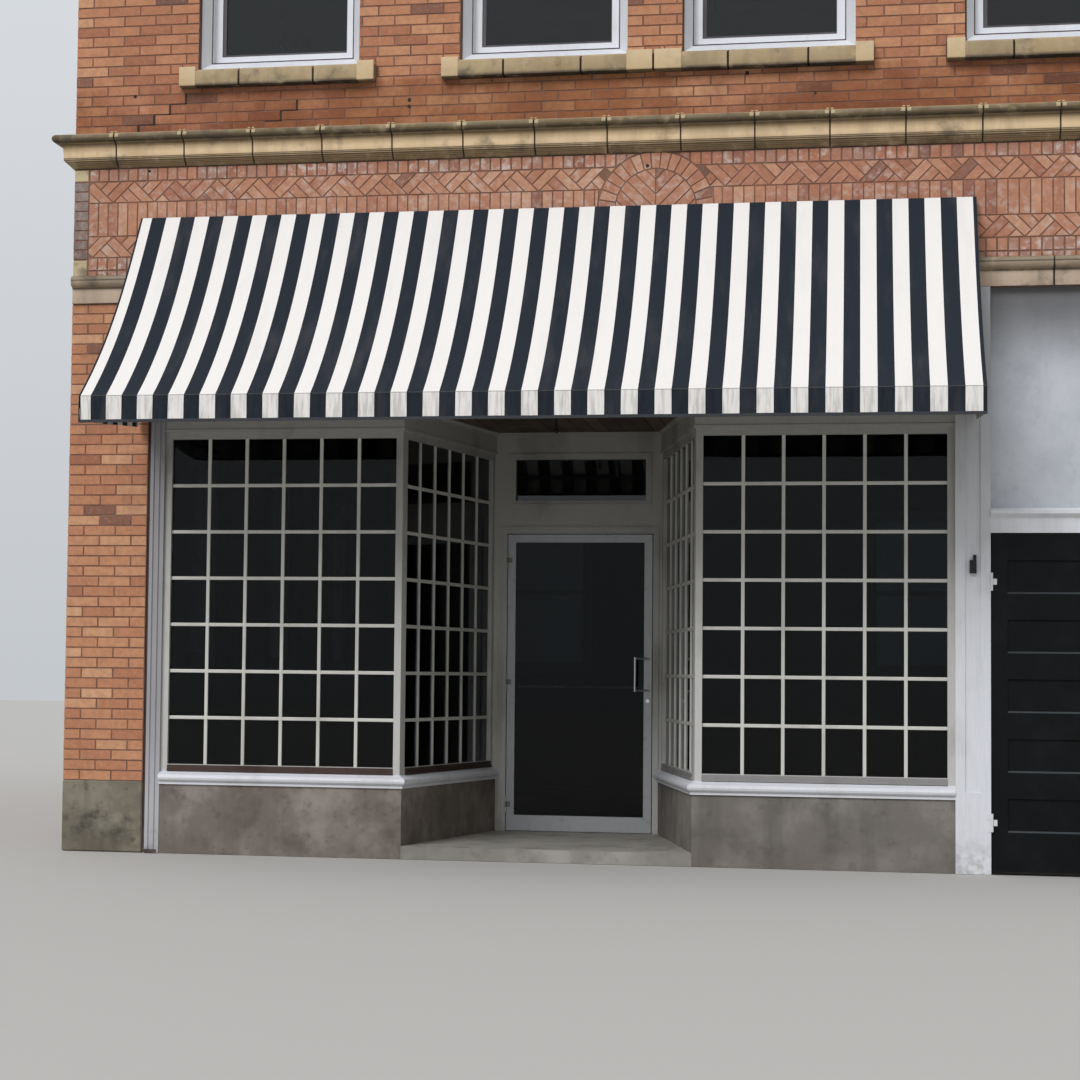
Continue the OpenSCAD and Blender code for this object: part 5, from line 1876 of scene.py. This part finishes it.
    def wing(self, x: float, name: str) -> bpy.types.Object:
        """The cloth that closes one end of the awning, from its foot up.

        Args:
            x: Its outer face.
            name: Name of the piece.

        Returns:
            The piece.
        """
        upper, lower = self.wing_outline()
        grid, uvs = [], []
        outward = -1 if x < (self.left + self.right) / 2 else 1
        rows = 8
        for share in (k / rows for k in range(rows, -1, -1)):
            line = [top.lerp(foot, share) for top, foot in zip(upper, lower)][::outward]
            for p in line:
                p.x = x - outward * 3 * MM * math.sin(math.pi * share)
            grid.append(line)
            uvs.append([((abs(p.y - upper[0].y) + self.stripe / 2) / self.width, 1 - share) for p in line])
        return self.sheet_piece(name, grid, uvs, Vector((-outward, 0, 0)))


@dataclass
class LandingFloor:
    """Floor of the entry recess: a grey stone border, a line of speckled tile and a pale field."""

    border: float = 0.105
    line: float = 0.034
    lift: float = 2 * MM

    def build(self) -> None:
        """Lays the three zones as one thin closed piece over the landing."""
        dress("entry_landing", BORDER)
        _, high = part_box("entry_landing")
        bay = Bay(False)
        z = high.z + self.lift
        plan = [(-bay.recess_half, 0.0), (bay.recess_half, 0.0), (bay.recess_back, bay.depth),
                (-bay.recess_back, bay.depth)]
        bm = bmesh.new()
        face = bm.faces.new([bm.verts.new((bay.shop_x + x, bay.brick + y, z)) for x, y in plan])
        bmesh.ops.inset_region(bm, faces=[face], thickness=2 * MM, use_even_offset=True)
        bmesh.ops.delete(bm, geom=[f for f in bm.faces if f is not face], context="FACES")
        for number, width in enumerate((self.border, self.line)):
            rim = bmesh.ops.inset_region(bm, faces=[face], thickness=width, use_even_offset=True)["faces"]
            for f in rim:
                f.material_index = number
        face.material_index = 2
        made = bmesh.ops.extrude_face_region(bm, geom=bm.faces[:], use_keep_orig=True)["geom"]
        for vert in [g for g in made if isinstance(g, bmesh.types.BMVert)]:
            vert.co.z -= self.lift * 1.5
        bmesh.ops.recalc_face_normals(bm, faces=bm.faces)
        make_piece("landing_floor", bm, [BORDER, SPECKLED, FIELD])


@dataclass
class CorniceNibs:
    """Small lumps that stand on the roll of a cornice at both sides of each joint."""

    node: str
    finish: Finish
    joints: tuple[float, ...]
    side_joints: tuple[float, ...]
    size: tuple[float, float, float] = (18 * MM, 42 * MM, 9 * MM)
    sunk: float = 10 * MM
    gap: float = 9 * MM

    def build(self) -> None:
        """Makes the lumps along the front and the side."""
        low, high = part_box(self.node)
        bm = bmesh.new()
        wide, deep, tall = self.size
        for side, joints, out in ((Side.FRONT, self.joints, -low.y),
                                  (Side.LEFT, [-v for v in self.side_joints], -low.x)):
            for near, way in ((x + way * self.gap / 2, way) for x in joints for way in (-1, 1)):
                start, end = sorted((near, near + way * wide))
                add_box(bm, (start, self.sunk, high.z - 0.5 * tall), (end, deep, high.z + 0.5 * tall),
                        side.face(out))
        layer = bm.faces.layers.float.new("nib")
        for face in bm.faces:
            face[layer] = 1.0
        soften(bm, 8 * MM, 2)
        make_piece(self.node + "_nibs", bm, self.finish, smooth=40)


@dataclass
class WallDamage:
    """Open joints that step down through the brickwork, and holes where old anchors were."""

    width: float = 18 * MM
    course: float = COURSE
    unit: float = STRETCHER
    half_w: float = HALF_W
    foot: float = 4.664
    # X, Z and radius of each hole
    holes: tuple[tuple[float, float, float], ...] = (
        (-1.547, 4.836, 0.013), (-1.549, 4.796, 0.011), (0.6, 4.932, 0.013), (-3.38, 4.921, 0.010),
        (-3.272, 4.425, 0.009), (-0.02, 4.365, 0.012), (1.02, 4.79, 0.008))
    # Half brick and course where each crack starts, the way it goes as it falls, and its steps
    cracks: tuple[tuple[int, int, int, int], ...] = ((7, 3, -1, 4), (14, 2, -1, 2))

    def build(self) -> None:
        """Makes the dark joints and holes, flush with the joints they open."""
        bm = bmesh.new()
        front = -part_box("rear_wall")[1].y
        dice = random.Random(31)
        for first, row, way, steps in self.cracks:
            x = -self.half_w + first * self.unit / 2
            for _ in range(steps):
                # A vertical joint of this course lies on every second half brick
                index = round((x + self.half_w) / (self.unit / 2))
                if (index + row) % 2 == 1:
                    x += way * self.unit / 2
                z = self.foot + (row + 1) * self.course
                half = self.width / 2 * dice.uniform(0.7, 1.15)
                add_box(bm, (x - half, front - 4.6 * MM, z - self.course), (x + half, front + MM, z))
                reach = way * self.unit / 2
                start, end = sorted((x, x + reach))
                add_box(bm, (start, front - 3.4 * MM, z - self.course - half * 0.6),
                        (end, front + MM, z - self.course + half * 0.5))
                x += reach
                row -= 1
        for x, z, radius in self.holes:
            matrix = Matrix.Translation((x, front - 1.6 * MM, z)) @ Matrix.Rotation(math.pi / 2, 4, "X")
            for vert in bmesh.ops.create_cone(bm, cap_ends=True, cap_tris=False, segments=14, radius1=radius,
                                              radius2=radius, depth=6 * MM, matrix=matrix)["verts"]:
                vert.co.x += dice.uniform(-0.18, 0.18) * radius
                vert.co.z += dice.uniform(-0.18, 0.18) * radius
        make_piece("open_joints", bm, GAP)


@dataclass
class DoorLedges:
    """Sloping ledges at the foot of each sunk panel of the black door, grey with street dust."""

    rise: float = 12 * MM

    def build(self) -> None:
        """Finds the ledges on the CAD door and lays a sloping fillet on each."""
        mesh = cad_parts["side_door"].data
        low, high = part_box("side_door")
        middle = (low.y + high.y) / 2
        bm = bmesh.new()
        seen = set()
        for polygon in mesh.polygons:
            centre = polygon.center
            level = round(centre.z, 3)
            if polygon.normal.z < 0.9 or centre.z > high.z - 0.01 or centre.y > middle or level in seen:
                continue
            seen.add(level)
            beside = [v.co for v in mesh.vertices if abs(v.co.z - centre.z) < MM]
            xs, ys = [p.x for p in beside], [p.y for p in beside if p.y < middle]
            x0, x1, y0, y1 = min(xs), max(xs), min(ys) + 0.5 * MM, max(ys)
            z = mesh.vertices[polygon.vertices[0]].co.z
            outline = [(y0, z), (y1, z), (y1, z + self.rise), (y0, z + 2 * MM)]
            rings = [[bm.verts.new((x, py, pz)) for py, pz in outline] for x in (x0, x1)]
            for i in range(4):
                j = (i + 1) % 4
                bm.faces.new((rings[0][i], rings[0][j], rings[1][j], rings[1][i]))
            bm.faces.new(rings[0])
            bm.faces.new(rings[1][::-1])
        bmesh.ops.recalc_face_normals(bm, faces=bm.faces)
        make_piece("door_panel_ledges", bm, BLACK, body="side_door")


class Stage:
    """Floor, daylight and camera."""

    def build(self) -> None:
        """Sets up everything that isn't part of the building."""
        self.floor()
        self.light()
        self.camera()
        view = bpy.context.scene.view_settings
        view.view_transform = "Standard"

    def floor(self) -> None:
        """A pale floor under the building."""
        mesh = bpy.data.meshes.new("floor")
        size = 60.0
        mesh.from_pydata([(-size, -size, -2 * MM), (size, -size, -2 * MM), (size, size, -2 * MM),
                          (-size, size, -2 * MM)], [], [(0, 1, 2, 3)])
        floor = bpy.data.objects.new("floor", mesh)
        bpy.context.scene.collection.objects.link(floor)
        recipe = Recipe("pale_floor")
        recipe.finish("#B9B7B2", 0.9)
        mesh.materials.append(recipe.material)

    def light(self) -> None:
        """An even sky, brighter overhead, and one broad soft light from the left of the street."""
        world = bpy.data.worlds.new("sky")
        bpy.context.scene.world = world
        world.use_nodes = True
        sky = Wiring(world.node_tree)
        where = sky.add("ShaderNodeTexCoord")["Generated"]
        up = sky.add("ShaderNodeSeparateXYZ", {"Vector": where})["Z"]
        skies = []
        for horizon, strength in (("#8C8C8E", 0.8), ("#C4C8CC", 1.0)):
            ramp = sky.add("ShaderNodeValToRGB", {"Fac": up}, ((0.0, horizon), (0.8, "#F4F7FB")))["Color"]
            skies.append(sky.add("ShaderNodeBackground", {"Color": ramp, "Strength": strength})["Background"])
        # The camera, metal and glass see the paler sky, and the walls are lit by the plainer one
        rays = sky.add("ShaderNodeLightPath")
        seen = rays["Is Camera Ray"]
        for name in ("Is Glossy Ray", "Is Transmission Ray"):
            seen = sky.add("ShaderNodeMath", {0: seen, 1: rays[name]}, operation="MAXIMUM")[0]
        both = sky.add("ShaderNodeMixShader", {"Fac": seen, 1: skies[0], 2: skies[1]})["Shader"]
        sky.feed(world.node_tree.nodes["World Output"].inputs["Surface"], both)
        sun = bpy.data.lights.new("soft_sun", "SUN")
        sun.energy = 1.9
        sun.angle = math.radians(30)
        sun.color = linear("#FBFBFF")[:3]
        lamp = bpy.data.objects.new("soft_sun", sun)
        lamp.rotation_euler = Vector((0.42, 1.0, -0.95)).to_track_quat("-Z", "Y").to_euler()
        bpy.context.scene.collection.objects.link(lamp)

    def camera(self) -> None:
        """The camera of the photograph, found from the building's own lines."""
        yaw, pitch, roll = (math.radians(a) for a in (-10.27, 3.047, 0.631))
        ahead = Vector((math.sin(yaw) * math.cos(pitch), math.cos(yaw) * math.cos(pitch), math.sin(pitch)))
        right = Vector((math.cos(yaw), -math.sin(yaw), 0))
        up = right.cross(ahead)
        across = right * math.cos(roll) + up * math.sin(roll)
        above = up * math.cos(roll) - right * math.sin(roll)
        data = bpy.data.cameras.new("street_camera")
        data.sensor_width = 36.0
        data.lens = 2260 / 1080 * 36
        data.shift_x, data.shift_y = 0.0847, 0.0115
        data.clip_end = 200
        camera = bpy.data.objects.new("street_camera", data)
        turn = Matrix((across, above, -ahead)).transposed().to_4x4()
        camera.matrix_world = Matrix.Translation((1.280, -18.527, 1.175)) @ turn
        bpy.context.scene.collection.objects.link(camera)
        bpy.context.scene.camera = camera


def build_stones() -> None:
    """Bands, sills, lintels, coping and pier bases, in blocks."""
    pitch, side_pitch = 0.4593, 0.52
    front = tuple(-3.483 + pitch * i for i in range(14)) + (3.03, 3.42)
    side = tuple(-3.9 + side_pitch * i for i in range(16))
    # Colours by height, from foot to head: soot on each roll, pale glaze in each cove, and painted light:
    # painted shade in the brown bed and the dark lines under the steps, painted highlight in the pale lines
    # on the fillets and the roll's top
    olive_with_painted_light = ((0.0, "#33291D"), (0.02, "#7C6648"), (0.085, "#8C7553"), (0.10, "#3E3325"), (0.115, "#A78F68"),
             (0.14, "#4A3D2C"), (0.155, "#A8906A"), (0.19, "#3B3124"), (0.21, "#B89F77"), (0.245, "#443829"),
             (0.26, "#B49A72"), (0.29, "#2F271D"), (0.31, "#DFC195"), (0.42, "#ECD0A6"), (0.58, "#DFC298"),
             (0.66, "#A08763"), (0.685, "#6E5F49"), (0.72, "#94805F"), (0.735, "#27211B"), (0.77, "#54472F"),
             (0.90, "#756548"), (0.955, "#85755A"), (0.975, "#C8B28B"), (1.0, "#AF9A77"))
    # The lower moulding's dark lines under its steps are painted shade as well
    pale = ((0.0, "#64584A"), (0.03, "#BDA790"), (0.50, "#C6B29C"), (0.55, "#62574A"), (0.60, "#9E8B76"),
            (0.80, "#A3917B"), (0.83, "#413A30"), (0.88, "#998972"), (1.0, "#827763"))
    moulding = (-3.36, -2.2, -1.0, 0.2, 1.35, 2.45, 3.19)
    for node, profile, joints, sides, nib in (("string_cornice", olive_with_painted_light, front, side, 30 * MM),
                                              ("top_cornice", olive_with_painted_light, front, side, 30 * MM),
                                              ("lower_moulding", pale, moulding, (), 0.0)):
        low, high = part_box(node)
        finish = BandStone(node + "_terracotta", low.z, high.z - low.z, profile, 0.45)
        StoneBand(node, finish, joints, sides, nib=nib).build()
        if nib:
            CorniceNibs(node, finish, joints, sides).build()
    windows = Facades().front.centres
    block = 0.247
    cuts = [c + s * block for c in (windows[0], windows[3], *windows[1:3]) for s in (-1, 1)] + [0.018]
    StoneBand("front_sills", SILL_STONE, tuple(cuts), gap=12 * MM, sink=0.80).build()
    StoneBand("front_lintels", LINTEL_STONE, tuple(cuts), gap=6 * MM, arris=4 * MM).build()
    StoneBand("side_window_stones", SIDE_STONE, gap=7 * MM, jitter=0.0).build()
    coping = 0.9
    StoneBand("parapet_coping", COPING, tuple(-3.1 + coping * i for i in range(8)),
              tuple(-3.6 + coping * i for i in range(9)), gap=8 * MM, jitter=0.0).build()
    StoneBand("pier_bases", CONCRETE, gap=8 * MM, arris=8 * MM, jitter=0.0).build()


def dress_nodes() -> None:
    """Finishes of the CAD nodes that show as they are."""
    for finish, nodes in (
            (WHITE, ("display_sills", "side_door_frame")), (PILASTERS, ("shopfront_pilasters",)),
            (WINDOWS, ("front_window_frames", "side_window_frames")),
            (WHITE_IN_PAINTED_SHADE, ("display_frames", "shopfront_head", "transom_panel", "door_frame")),
            (GLASS, ("front_window_glass", "transom_glass")), (SHOP_GLASS, ("display_glass",)),
            (DOOR_GLASS, ("shop_door_glass",)), (REAR_GLASS, ("side_window_glass",)),
            (RENDER, ("left_bulkhead",)), (GREY_RENDER, ("right_bulkhead",)), (SLAB, ("ground_floor",)),
            (FLOORS, ("upper_floor", "display_decks")), (FELT, ("roof_deck",)), (SOFFIT, ("recess_soffit",)),
            (ALUMINIUM, ("shop_door",)), (STEEL, ("shop_door_hardware",)), (BLACK, ("side_door",)),
            (BRASS, ("side_door_hardware",)), (PLASTER, ("plaster_panel",)), (IRON, ("iron_fittings",))):
        for node in nodes:
            dress(node, finish)


def main() -> None:
    """Builds the whole scene."""
    logging.basicConfig(level=logging.INFO, format="%(name)s %(message)s")
    dress_nodes()
    Facades().build()
    build_stones()
    DisplayBars().build()
    DisplayTrim().build()
    PilasterStop().build()
    SillEars().build()
    WindowLines().build()
    LandingFloor().build()
    WallDamage().build()
    DoorLedges().build()
    Awning().build()
    Stage().build()


if __name__ == "__main__":
    main()
